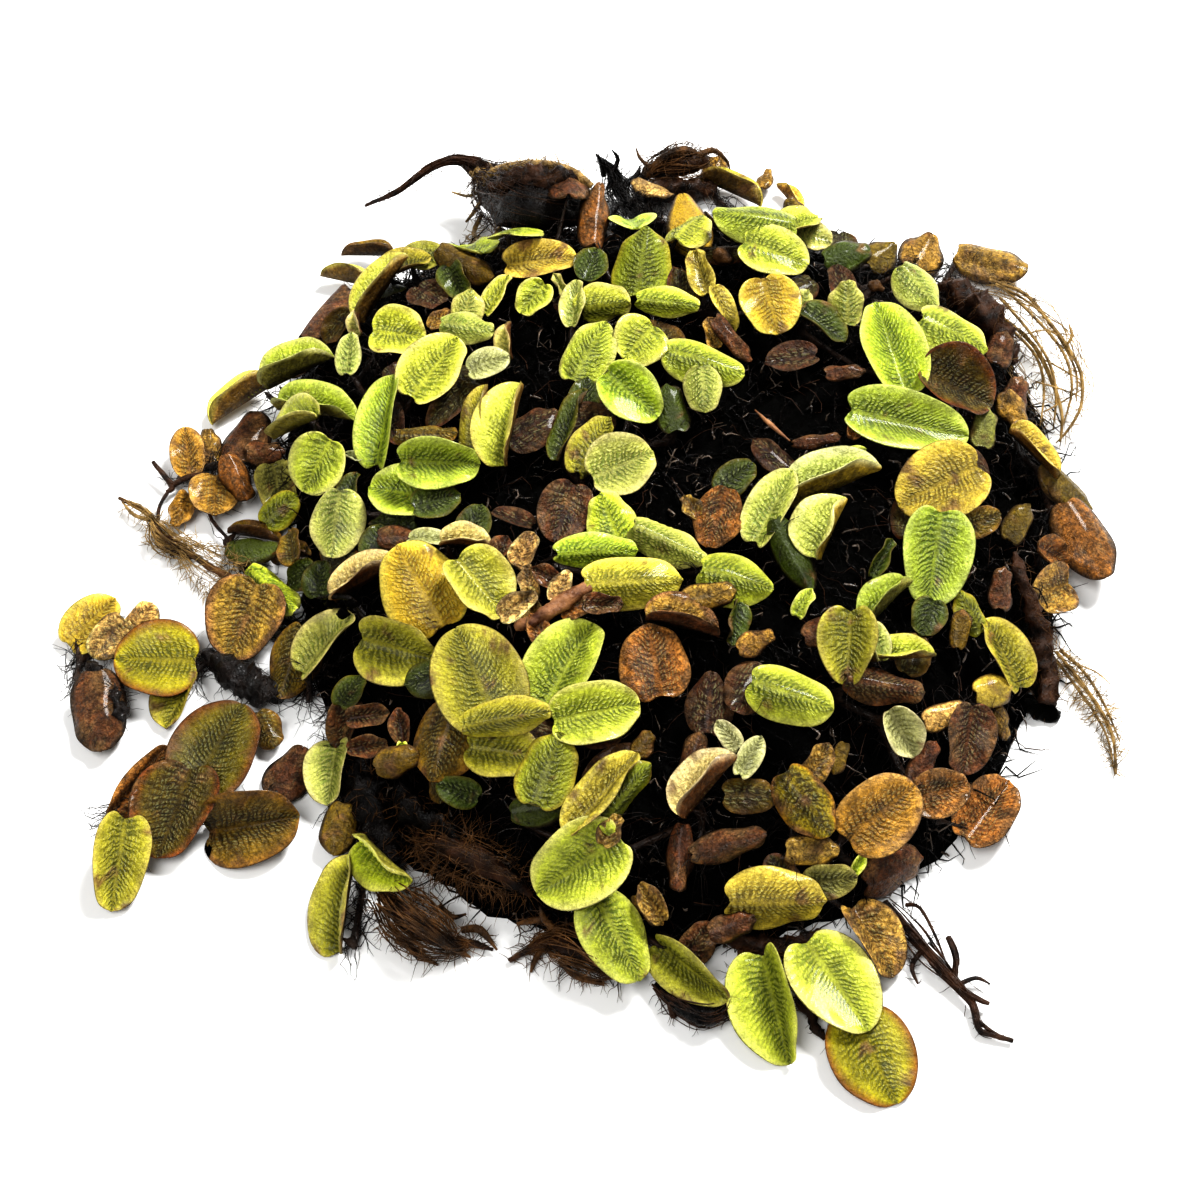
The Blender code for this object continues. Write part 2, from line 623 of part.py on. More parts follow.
def place_on_heap(across, down, lift, view=FRONT):
    """Where the view's line through a point comes within lift(x, y) of the mound or the surface."""
    eye, ray = view @ VIEW_EYE, view @ view_ray(across, down)
    near, far = 0.0, 2 * VIEW_DISTANCE

    def above(distance):
        point = eye + ray * distance
        return point.z - mound_height(point.x, point.y) - lift(point.x, point.y)

    step = 1 * MM
    while near < far and above(near + step) > 0:
        near += step
    far = near + step
    for _ in range(20):
        middle = (near + far) / 2
        if above(middle) > 0:
            near = middle
        else:
            far = middle
    return eye + ray * near


def canopy_lift(x, y):
    """How high a leaf of the lowest level floats over the mound, or over the surface beside it."""
    share = over_mound(x, y)
    return GROUND_LIFT + (CANOPY_LIFT - GROUND_LIFT) * share


def floor_height(x, y):
    """The lowest place that a blade may reach: over the creeping stems."""
    return mound_height(x, y) + STEM_LAYER * over_mound(x, y) + GAP


def margin(leaf, angle):
    """A point of the flat blade's right edge, from 0 in the notch to pi at the tip."""
    x = leaf.width / 2 * math.sin(angle) ** MARGIN_ROUNDNESS * (1 + BASE_FULLNESS * math.cos(angle))
    y = leaf.length * (0.5 - 0.5 * math.cos(angle) + NOTCH * math.exp(-((angle / NOTCH_ANGLE) ** 2)))
    return x, y


def flat_point(leaf, row, side):
    """A point of the flat blade: row runs from 0 at the stalk to 1 at the tip, side from -1 to 1."""
    x, y = margin(leaf, FIRST_ROW_ANGLE + (math.pi - FIRST_ROW_ANGLE) * row**ROW_SWEEP)
    rib = leaf.length * (NOTCH + (1 - NOTCH) * row)
    return x * side, rib + (y - rib) * abs(side)


def bent_point(leaf, x, y, rise=0.0):
    """A point of the flat blade after its halves are folded up and curled and its length is arched."""
    left, right, curl, arch, _ = SHAPES[leaf.shape]
    if x:
        fold = math.radians(right if x > 0 else left)
        curl_rate = math.radians(curl) / (leaf.width / 2)
        turn = fold + curl_rate * abs(x)
        across = (math.sin(turn) - math.sin(fold)) / curl_rate - rise * math.sin(turn)
        across = math.copysign(across, x)
        up = (math.cos(fold) - math.cos(turn)) / curl_rate + rise * math.cos(turn)
    else:
        across = rise * math.sin(rib_lean(leaf))
        up = rise * math.cos(rib_lean(leaf))
    radius = leaf.length / math.radians(arch)
    along = (y - leaf.length / 2) / radius
    return Vector((across, (radius + up) * math.sin(along), (radius + up) * math.cos(along) - radius))


def rib_lean(leaf):
    """How far the middle of the fold leans over to the right half."""
    left, right, *_ = SHAPES[leaf.shape]
    return math.radians(left - right) / 2


def blade_points(leaf, grow=0.0):
    """The blade's rings of left edge, top, right edge and underside, from the stalk to the tip."""
    rings = []
    for row in BLADE_ROWS:
        half = BLADE_THICKNESS / 2 * (1 - 0.4 * row) + grow
        x, y = flat_point(leaf, row, 1)
        rib = flat_point(leaf, row, 0)[1]
        wide = x + grow
        ring = [(-wide, y, 0), (0, rib, half), (wide, y, 0), (0, rib, -half)]
        rings.append([bent_point(leaf, *point) for point in ring])
    return rings, bent_point(leaf, 0, leaf.length + grow)


def blade_turn(leaf, at, tilt):
    """The blade's right, tip and upper directions where it lies, as a matrix."""
    toward = leaf.view @ -VIEW_FORWARD
    share = FACING_GROUND + (FACING_MOUND - FACING_GROUND) * over_mound(at.x, at.y)
    upper = (toward * share + surface_normal(at.x, at.y) * (1 - share)).normalized()
    spin = math.radians(leaf.spin)
    way = leaf.view @ (VIEW_RIGHT * math.cos(spin) + VIEW_UP * math.sin(spin))
    tip = (way - toward * (way.dot(upper) / toward.dot(upper))).normalized()
    turn = Matrix((tip.cross(upper), tip, upper)).transposed()
    if SHAPES[leaf.shape][-1] < 0:
        turn = turn @ Matrix.Rotation(math.pi, 3, "Y")
    turn = turn @ Matrix.Rotation(math.radians(tilt[0] + leaf.turn[0]), 3, "X")
    return turn @ Matrix.Rotation(math.radians(tilt[1] + leaf.turn[1]), 3, "Y")


def ring_faces(first, second):
    """The triangles between two rings of four."""
    faces = []
    for k in range(4):
        after = (k + 1) % 4
        faces.append((first[k], first[after], second[after]))
        faces.append((first[k], second[after], second[k]))
    return faces


def blade_faces(first, second):
    """The triangles between two of a blade's rings, the same way round on both halves."""
    left, top, right, under = first
    next_left, next_top, next_right, next_under = second
    return [
        (left, top, next_top),
        (left, next_top, next_left),
        (top, right, next_top),
        (right, next_right, next_top),
        (right, under, next_under),
        (right, next_under, next_right),
        (under, left, next_under),
        (left, next_left, next_under),
    ]


def tree_of(points, faces):
    return BVHTree.FromPolygons(points, faces, all_triangles=True)


def blade_tree(leaf, turn, origin, grow):
    """The placed blade's points, and a search tree of its surface."""
    rings, tip = blade_points(leaf, grow)
    points = [origin + turn @ point for ring in rings for point in ring] + [origin + turn @ tip]
    indices = [list(range(4 * k, 4 * k + 4)) for k in range(len(rings))]
    faces = [(0, 1, 2), (0, 2, 3)]
    for first, second in zip(indices, indices[1:]):
        faces += blade_faces(first, second)
    last = indices[-1]
    faces += [(last[k], last[(k + 1) % 4], len(points) - 1) for k in range(4)]
    return points, tree_of(points, faces)


class Blade:
    """A leaf's blade where it lies."""

    def __init__(self, leaf, turn, origin):
        self.leaf, self.turn, self.origin = leaf, turn, origin
        self.tree = blade_tree(leaf, turn, origin, GAP / 2)[1]
        foot = flat_point(leaf, 0, 0)[1] - STALK_HALF
        self.base = origin + turn @ bent_point(leaf, 0, foot)


def try_blade(leaf, centre, tilt, others):
    """The blade with its middle there, or None if it would touch the mound or another piece."""
    turn = blade_turn(leaf, centre, tilt)
    rings, tip = blade_points(leaf)
    middle = sum((point for ring in rings for point in ring), tip.copy()) / (4 * len(rings) + 1)
    origin = centre - turn @ middle
    points, tree = blade_tree(leaf, turn, origin, GAP / 2)
    if any(point.z < floor_height(point.x, point.y) for point in points):
        return None
    if any(tree.overlap(other) for other in others):
        return None
    return Blade(leaf, turn, origin)


def place_blades(leaves, obstacles):
    """Each leaf's blade on its line of sight, lifted towards the view until it is clear of the rest."""
    blades = []
    for leaf in sorted(leaves, key=lambda leaf: leaf.level):
        level = leaf.level * LEVEL_LIFT
        start = place_on_heap(leaf.across, leaf.down, lambda x, y: canopy_lift(x, y) + level, leaf.view)
        ray = leaf.view @ view_ray(leaf.across, leaf.down)
        others = obstacles + [blade.tree for blade in blades]
        tries = ((lift, tilt) for lift in range(LIFT_TRIES) for tilt in TILT_TRIES)
        for lift, tilt in tries:
            blade = try_blade(leaf, start - ray * lift * LIFT_STEP, tilt, others)
            if blade:
                blades.append(blade)
                break
    return blades


def rod_tree(start, end, half):
    """A square rod's search tree."""
    way = (end - start).normalized()
    side = way.orthogonal().normalized() * half
    other = way.cross(side)
    corners = (side, other, -side, -other)
    points = [start + corner for corner in corners] + [end + corner for corner in corners]
    faces = ring_faces([0, 1, 2, 3], [4, 5, 6, 7]) + [(0, 2, 1), (0, 3, 2), (4, 5, 6), (4, 6, 7)]
    return tree_of(points, faces)


def clear_of(tree, others):
    return not any(tree.overlap(other) for other in others)


def foot_choices(blade, others):
    """Places for the joint that carries a leaf, best first, with a clear way for its stalk."""
    base = blade.base
    behind = -(blade.turn @ Vector((0, 1, 0)))
    choices = []
    for reach in FOOT_REACHES:
        for step in range(FOOT_TURNS):
            angle = math.tau * step / FOOT_TURNS
            x = base.x + reach * MM * math.cos(angle)
            y = base.y + reach * MM * math.sin(angle)
            foot = Vector((x, y, mound_height(x, y) + STEM_RISE))
            rise = base - foot
            if rise.length < 4 * JOINT_HALF or rise.normalized().dot(-behind) < SHARPEST_STALK:
                continue
            if not clear_of(rod_tree(foot, foot + rise * 0.97, STALK_HALF + GAP / 2), others):
                continue
            if sprig_mesh([blade], [foot]).cuts_itself():
                continue
            cost = rise.length + STALK_BEHIND_GAIN * behind.dot(rise)
            choices.append((cost, len(choices), foot))
    return [foot for _, _, foot in sorted(choices)]


def route_cost(feet):
    """The creeping stem's length through its joints, with a charge for each sharp turn."""
    cost = sum((b - a).length for a, b in zip(feet, feet[1:]))
    for a, b, c in zip(feet, feet[1:], feet[2:]):
        if (b - a).normalized().dot((c - b).normalized()) < SHARP_TURN:
            cost += SHARP_TURN_COST
    return cost


def best_order(feet):
    """The shortest way through the joints, as their order."""
    orders = (order for order in permutations(range(len(feet))) if order[:1] <= order[-1:])
    return min(orders, key=lambda order: route_cost([feet[k] for k in order]))


class SprigMesh:
    """The points and faces of one sprig: joints, the stem between them, stalks and blades."""

    def __init__(self):
        self.points, self.faces = [], []

    def add(self, points):
        start = len(self.points)
        self.points += points
        return list(range(start, len(self.points)))

    def band(self, first, second):
        """Joins two rings, turning the second so that the band is straight."""
        rounds = [second[k:] + second[:k] for k in range(4)]
        rounds += [list(reversed(ring)) for ring in rounds]

        def twist(ring):
            return sum((self.points[a] - self.points[b]).length_squared for a, b in zip(first, ring))

        self.faces += ring_faces(first, min(rounds, key=twist))

    def joint(self, foot, along, up):
        """A small block. Returns its sides by direction, as rings."""
        along = along.normalized()
        side = up.cross(along).normalized()
        up = along.cross(side)
        signs = [(a, b, c) for a in (-1, 1) for b in (-1, 1) for c in (-1, 1)]
        corners = [foot + (along * a + side * b + up * c) * JOINT_HALF for a, b, c in signs]
        number = dict(zip(signs, self.add(corners)))
        square = [(-1, -1), (-1, 1), (1, 1), (1, -1)]
        return {
            "back": [number[-1, b, c] for b, c in square],
            "front": [number[1, b, c] for b, c in square],
            "right": [number[a, -1, c] for a, c in square],
            "left": [number[a, 1, c] for a, c in square],
            "under": [number[a, b, -1] for a, b in square],
            "top": [number[a, b, 1] for a, b in square],
        }

    def stem(self, first, way, last):
        """The stem between two joints, with a ring at each bend."""
        for before, point, after in zip(way, way[1:], way[2:]):
            along = (after - before).normalized()
            side = along.cross(Vector((0, 0, 1))).normalized() * JOINT_HALF
            up = side.cross(along)
            ring = self.add([point - side - up, point - side + up, point + side + up, point + side - up])
            self.band(first, ring)
            first = ring
        self.band(first, last)

    def close(self, ring):
        self.faces += [(ring[0], ring[1], ring[2]), (ring[0], ring[2], ring[3])]

    def leaf(self, blade, foot, socket):
        """A blade with its stalk, from a joint's top."""
        rise = (blade.base - foot).normalized()
        lean = blade.turn @ Matrix.Rotation(rib_lean(blade.leaf), 3, "Y")
        right, tip, upper = lean.transposed()
        mitre = (rise + tip).normalized()
        across = (right - mitre * right.dot(mitre)).normalized() * STALK_HALF
        thick = mitre.cross(across) * min(LONGEST_MITRE, 1 / max(0.3, mitre.dot(tip)))
        if thick.dot(upper) < 0:
            thick = -thick
        base = blade.base
        ring = self.add([base - across, base + thick, base + across, base - thick])
        self.band(socket, ring)
        rings, point = blade_points(blade.leaf)
        for corners in rings:
            after = self.add([blade.origin + blade.turn @ corner for corner in corners])
            self.faces += blade_faces(ring, after)
            ring = after
        end = self.add([blade.origin + blade.turn @ point])[0]
        self.faces += [(ring[k], ring[(k + 1) % 4], end) for k in range(4)]

    def cuts_itself(self):
        """Whether two faces that share no point cross."""
        tree = tree_of(self.points, self.faces)
        pairs = tree.overlap(tree)
        return any(not set(self.faces[a]) & set(self.faces[b]) for a, b in pairs)


def creep(start, end):
    """The creeping stem's way over the mound from one joint to the next."""
    steps = max(1, round((end - start).length / STEM_STEP))
    way = [start.lerp(end, step / steps) for step in range(steps + 1)]
    for point in way[1:-1]:
        point.z = max(point.z, mound_height(point.x, point.y) + STEM_RISE)
    return way


def sprig_mesh(blades, feet):
    """A sprig whose stem runs through its joints in the order given."""
    mesh = SprigMesh()
    last = len(feet) - 1
    before = None
    for k, (blade, foot) in enumerate(zip(blades, feet)):
        along = stem_direction(feet, k)
        if not last:
            along = blade.turn @ Vector((1, 0, 0))
        sides = mesh.joint(foot, along, blade.base - foot)
        mesh.leaf(blade, foot, sides["top"])
        closed = ["right", "left", "under"]
        if k == 0:
            closed.append("back")
        else:
            mesh.stem(before, creep(feet[k - 1], foot), sides["back"])
        if k == last:
            closed.append("front")
        before = sides["front"]
        for side in closed:
            mesh.close(sides[side])
    return mesh


def stem_direction(feet, k):
    """The way the stem runs through a joint."""
    return feet[min(k + 1, len(feet) - 1)] - feet[max(k - 1, 0)]


def squeezed(blade, feet, k):
    """Whether a joint's stalk would leave nearly along the stem."""
    along = stem_direction(feet, k)
    return len(feet) > 1 and abs(along.normalized().dot((blade.base - feet[k]).normalized())) > SHARPEST_FORK


def grow_sprig(blades, others):
    """The sprig's mesh and the trees of its stems, with joints and a stem that clear the other pieces."""
    chance = random.Random(SEED + len(blades) + blades[0].leaf.number)
    own = [blade.tree for blade in blades]
    choices = [foot_choices(blade, others + own[:k] + own[k + 1 :]) for k, blade in enumerate(blades)]
    if not all(choices):
        return None
    best = None
    for _ in range(ROUTE_TRIES):
        feet = [spots[int(chance.random() ** 2 * len(spots))] for spots in choices]
        order = best_order(feet)
        feet = [feet[k] for k in order]
        gaps = [(a - b).length for n, a in enumerate(feet) for b in feet[:n]]
        if min(gaps, default=1.0) < LEAST_JOINT_SPACING:
            continue
        cost = route_cost(feet) + sum((blades[k].base - foot).length for k, foot in zip(order, feet))
        if best and cost >= best[0]:
            continue
        if any(squeezed(blades[k], feet, n) for n, k in enumerate(order)):
            continue
        ways = [creep(a, b) for a, b in zip(feet, feet[1:])]
        links = [rod_tree(a, b, JOINT_HALF + GAP / 2) for way in ways for a, b in zip(way, way[1:])]
        if not all(clear_of(link, others + own) for link in links):
            continue
        mesh = sprig_mesh([blades[k] for k in order], feet)
        if mesh.cuts_itself() or not clear_of(tree_of(mesh.points, mesh.faces), others):
            continue
        best = (cost, mesh)
    return best[1] if best else None


def material(name, colour, roughness):
    """A plain finish: one Principled BSDF."""
    finish = bpy.data.materials.get(name)
    if finish:
        return finish
    finish = bpy.data.materials.new(name)
    finish.use_nodes = True
    shader = finish.node_tree.nodes["Principled BSDF"]
    shader.inputs["Base Color"].default_value = (*colour, 1)
    shader.inputs["Roughness"].default_value = roughness
    shader.inputs["Metallic"].default_value = 0.0
    return finish


def add_object(name, points, faces, finish):
    """A closed mesh object with its faces pointing out."""
    mesh = bpy.data.meshes.new(name)
    mesh.from_pydata([tuple(point) for point in points], [], faces)
    shape = bmesh.new()
    shape.from_mesh(mesh)
    bmesh.ops.recalc_face_normals(shape, faces=shape.faces)
    if shape.calc_volume(signed=True) < 0:
        bmesh.ops.reverse_faces(shape, faces=shape.faces)
    shape.to_mesh(mesh)
    shape.free()
    mesh.materials.append(finish)
    thing = bpy.data.objects.new(name, mesh)
    bpy.context.scene.collection.objects.link(thing)
    return thing


def mound_mesh():
    """The mound of roots: rings round its middle, a rim on the surface and a flat underside."""
    middle = Vector((*MOUND_MIDDLE, 0))
    points = [middle + Vector((0, 0, mound_height(middle.x, middle.y)))]
    for reach in (*MOUND_RINGS, 1.0):
        for spoke in range(MOUND_SPOKES):
            angle = math.tau * spoke / MOUND_SPOKES
            way = Vector((math.cos(angle), math.sin(angle), 0))
            point = middle + way * rim_radius(angle) * reach
            point.z = mound_height(point.x, point.y) if reach < 1 else 0.0
            points.append(point)
    faces = [(0, 1 + k, 1 + (k + 1) % MOUND_SPOKES) for k in range(MOUND_SPOKES)]
    for ring in range(len(MOUND_RINGS)):
        inner = 1 + ring * MOUND_SPOKES
        outer = inner + MOUND_SPOKES
        for k in range(MOUND_SPOKES):
            after = (k + 1) % MOUND_SPOKES
            faces.append((inner + k, outer + k, outer + after))
            faces.append((inner + k, outer + after, inner + after))
    rim = 1 + len(MOUND_RINGS) * MOUND_SPOKES
    faces.append(tuple(reversed(range(rim, rim + MOUND_SPOKES))))
    return points, faces


def smooth_path(rows):
    """The route's points and radii, with points between them on a smooth curve."""
    knots = []
    for across, down, radius, height in rows:
        lift = (radius + height) * MM + GAP
        knots.append((place_on_heap(across, down, lambda x, y: lift), radius * MM))
    route = []
    for k in range(len(knots) - 1):
        picks = [knots[max(0, min(len(knots) - 1, k + step))] for step in (-1, 0, 1, 2)]
        (a, _), (b, b_radius), (c, c_radius), (d, _) = picks
        for step in range(ROOT_STEPS):
            t = step / ROOT_STEPS
            cubic = 2 * a - 5 * b + 4 * c - d + t * (3 * b - a - 3 * c + d)
            route.append((b + 0.5 * t * (c - a + t * cubic), b_radius + (c_radius - b_radius) * t))
    return route + [knots[-1]]


def tube_mesh(route):
    """A closed tube of changing thickness along a route, clear of the surface under it."""
    points, faces = [], []
    count = ROOT_SIDES
    side = None
    for k, (point, radius) in enumerate(route):
        ahead = route[min(k + 1, len(route) - 1)][0] - route[max(k - 1, 0)][0]
        way = ahead.normalized()
        side = way.orthogonal() if side is None else side
        side = (side - way * side.dot(way)).normalized()
        other = way.cross(side)
        for step in range(count):
            angle = math.tau * step / count
            spot = point + (side * math.cos(angle) + other * math.sin(angle)) * radius
            spot.z = max(spot.z, mound_height(spot.x, spot.y) + GAP)
            points.append(spot)
    for ring in range(len(route) - 1):
        for step in range(count):
            a, b = ring * count + step, ring * count + (step + 1) % count
            faces += [(a, b, b + count), (a, b + count, a + count)]
    faces.append(tuple(reversed(range(count))))
    faces.append(tuple(range(len(points) - count, len(points))))
    return points, faces


def union(name, bodies, finish):
    """One closed body from several that overlap."""
    things = [add_object(f"{name}_piece_{k}", *body, finish) for k, body in enumerate(bodies)]
    for other in things[1:]:
        join = things[0].modifiers.new("join", "BOOLEAN")
        join.operation = "UNION"
        join.solver = "EXACT"
        join.object = other
    graph = bpy.context.evaluated_depsgraph_get()
    mesh = bpy.data.meshes.new_from_object(things[0].evaluated_get(graph))
    points = [vertex.co.copy() for vertex in mesh.vertices]
    faces = [tuple(face.vertices) for face in mesh.polygons]
    for thing in things:
        bpy.data.objects.remove(thing, do_unlink=True)
    return add_object(name, points, faces, finish)


def root_finish(name):
    if name in DARK_ROOTS:
        return material("dark root", ROOT_COLOUR, ROOT_ROUGHNESS)
    return material("brown root", PLUME_COLOUR, PLUME_ROUGHNESS)


def add_roots():
    """The mound, and the roots and twigs that trail from it."""
    things = [add_object("root_mound", *mound_mesh(), root_finish("root_mound"))]
    for name, rows in ROOTS.items():
        bodies = [tube_mesh(smooth_path(rows))]
        bodies += [tube_mesh(smooth_path(side)) for side in SIDE_TWIGS.get(name, [])]
        if len(bodies) == 1:
            things.append(add_object(name, *bodies[0], root_finish(name)))
        else:
            things.append(union(name, bodies, root_finish(name)))
    return things


def object_tree(thing):
    """A search tree of an object's surface, as triangles."""
    shape = bmesh.new()
    shape.from_mesh(thing.data)
    bmesh.ops.triangulate(shape, faces=shape.faces)
    tree = BVHTree.FromBMesh(shape)
    shape.free()
    return tree


def sprig_tint(blades):
    """The tint of the sprig's largest leaf."""
    largest = max(blades, key=lambda blade: blade.leaf.length * blade.leaf.width)
    return largest.leaf.tint


def add_sprigs(obstacles):
    """The sprigs, each as one closed body."""
    leaves = [leaf for leaf in all_leaves() if leaf.length >= SMALLEST_LEAF]
    blades = place_blades(leaves, obstacles)
    stems = []
    for name in (*SPRIGS, *FAR_SPRIGS):
        group = [blade for blade in blades if blade.leaf.sprig == name]
        rest = [blade.tree for blade in blades if blade.leaf.sprig != name]
        mesh = None
        while group and not mesh:
            mesh = grow_sprig(group, obstacles + rest + stems)
            if not mesh:
                group = drop_most_closed_in(group, obstacles + rest + stems)
        if mesh:
            tint = sprig_tint(group)
            add_object(name, mesh.points, mesh.faces, material(f"{tint} leaf", TINTS[tint], LEAF_ROUGHNESS))
            stems.append(tree_of(mesh.points, mesh.faces))


def drop_most_closed_in(group, others):
    """The group without the leaf that has the fewest places for its joint."""
    fewest = min(group, key=lambda blade: (len(foot_choices(blade, others)), blade.leaf.length))
    return [blade for blade in group if blade is not fewest]


def build():
    for thing in list(bpy.data.objects):
        bpy.data.objects.remove(thing, do_unlink=True)
    add_sprigs([object_tree(thing) for thing in add_roots()])


build()
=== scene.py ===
"""How a heap of water spangles (Salvinia minima) looks: ridged leaves, creeping stems and wet roots.

Each sprig of the frame becomes a plant with detailed leaves where its plain ones are. The mound becomes a
tangle of roots with old leaves in it, and each trailing root a bundle of threads and hairs.
"""

import math
import random

import bmesh
import bpy
import numpy as np
from mathutils import Matrix, Vector, noise
from mathutils.bvhtree import BVHTree
from mathutils.kdtree import KDTree


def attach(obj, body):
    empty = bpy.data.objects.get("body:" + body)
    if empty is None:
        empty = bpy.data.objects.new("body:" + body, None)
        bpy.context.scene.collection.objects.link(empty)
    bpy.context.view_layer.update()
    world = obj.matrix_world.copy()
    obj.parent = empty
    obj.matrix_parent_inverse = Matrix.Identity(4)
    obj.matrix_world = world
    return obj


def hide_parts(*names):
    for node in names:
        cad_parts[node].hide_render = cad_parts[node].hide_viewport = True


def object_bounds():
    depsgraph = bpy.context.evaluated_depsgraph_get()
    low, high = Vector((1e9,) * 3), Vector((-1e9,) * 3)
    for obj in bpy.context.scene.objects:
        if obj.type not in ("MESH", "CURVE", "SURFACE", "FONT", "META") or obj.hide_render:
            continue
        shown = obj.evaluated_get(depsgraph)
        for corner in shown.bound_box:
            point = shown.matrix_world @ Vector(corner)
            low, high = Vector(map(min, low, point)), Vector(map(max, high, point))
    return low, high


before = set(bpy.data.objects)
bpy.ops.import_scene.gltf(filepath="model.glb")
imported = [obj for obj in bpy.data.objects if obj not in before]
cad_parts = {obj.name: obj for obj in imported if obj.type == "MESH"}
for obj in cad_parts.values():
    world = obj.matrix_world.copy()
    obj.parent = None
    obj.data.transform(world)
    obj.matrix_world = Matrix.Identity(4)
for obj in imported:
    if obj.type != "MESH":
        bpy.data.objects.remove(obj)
CAD_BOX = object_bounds()

MM = 0.001
SEED = 7
noise.seed_set(SEED)

# The view that the leaves' places were measured in
VIEW_ELEVATION = math.radians(55)
VIEW_DISTANCE = 330 * MM
VIEW_TARGET = Vector((0, 0, 8 * MM))
VIEW_MIDDLE = 600
VIEW_PIXEL = 0.145 * MM
VIEW_RIGHT = Vector((1, 0, 0))
VIEW_UP = Vector((0, math.sin(VIEW_ELEVATION), math.cos(VIEW_ELEVATION)))
VIEW_FORWARD = Vector((0, math.cos(VIEW_ELEVATION), -math.sin(VIEW_ELEVATION)))
VIEW_EYE = VIEW_TARGET - VIEW_FORWARD * VIEW_DISTANCE
FRONT = Matrix.Identity(3)
BEHIND = Matrix.Rotation(math.pi, 3, "Z")

# The mound of roots: its rim's distance from its middle every 30 degrees, anticlockwise from +X
MOUND_MIDDLE = (9 * MM, 17 * MM)
MOUND_RIM = [r * MM for r in (61, 67, 68, 65, 67, 66, 55, 57, 67, 69, 68, 61)]
MOUND_HEIGHT = 19 * MM
MOUND_FLATNESS = 3
MOUND_STEEPNESS = 0.75

# The layers over the mound
GAP = 0.35 * MM
STEM_LAYER = 1.7 * MM
CANOPY_LIFT = 4.6 * MM
GROUND_LIFT = 2.1 * MM
LEVEL_LIFT = 1.1 * MM
MOUND_EDGE = 5 * MM

# A leaf's proportions
NOTCH = 0.22
NOTCH_ANGLE = 0.42
FIRST_ROW_ANGLE = 0.15
ROW_SWEEP = 0.7
BASE_FULLNESS = 0.1
MARGIN_ROUNDNESS = 0.85
BLADE_ROWS = (0.06, 0.3, 0.58, 0.84)
BLADE_THICKNESS = 0.9 * MM
BLADE_TAPER = 0.4
SMALLEST_LEAF = 6.7 * MM

# How a leaf is folded: left and right half's rise from the blade's plane, the halves' curl and
# the arch from base to tip, all in degrees, and 1 with the upper side to the view or -1 with the underside
SHAPES = {
    "flat": (6, 6, 12, 10, 1),
    "dome": (-8, -8, -22, 22, 1),
    "cup": (20, 20, 16, -8, 1),
    "bowl": (32, 32, 25, -25, 1),
    "clam_l": (106, 10, 12, 2, 1),
    "clam_r": (10, 106, 12, 2, 1),
    "shut_l": (118, 16, 10, 2, 1),
    "shut_r": (16, 118, 10, 2, 1),
    "half_l": (86, 6, 10, 6, 1),
    "half_r": (6, 86, 10, 6, 1),
    "open_l": (74, 8, 12, 3, 1),
    "fold_l": (52, 8, 12, 4, 1),
    "fold_r": (8, 52, 12, 4, 1),
    "saddle": (-28, -28, -14, 24, 1),
    "ridge": (-48, -48, -10, 16, 1),
    "roof_l": (-62, -14, -10, 10, 1),
    "roof_r": (-14, -62, -10, 10, 1),
    "sliver": (66, 66, 6, 2, 1),
    "back": (20, 20, 20, -20, -1),
    "back_fold": (48, 48, 10, -8, -1),
}

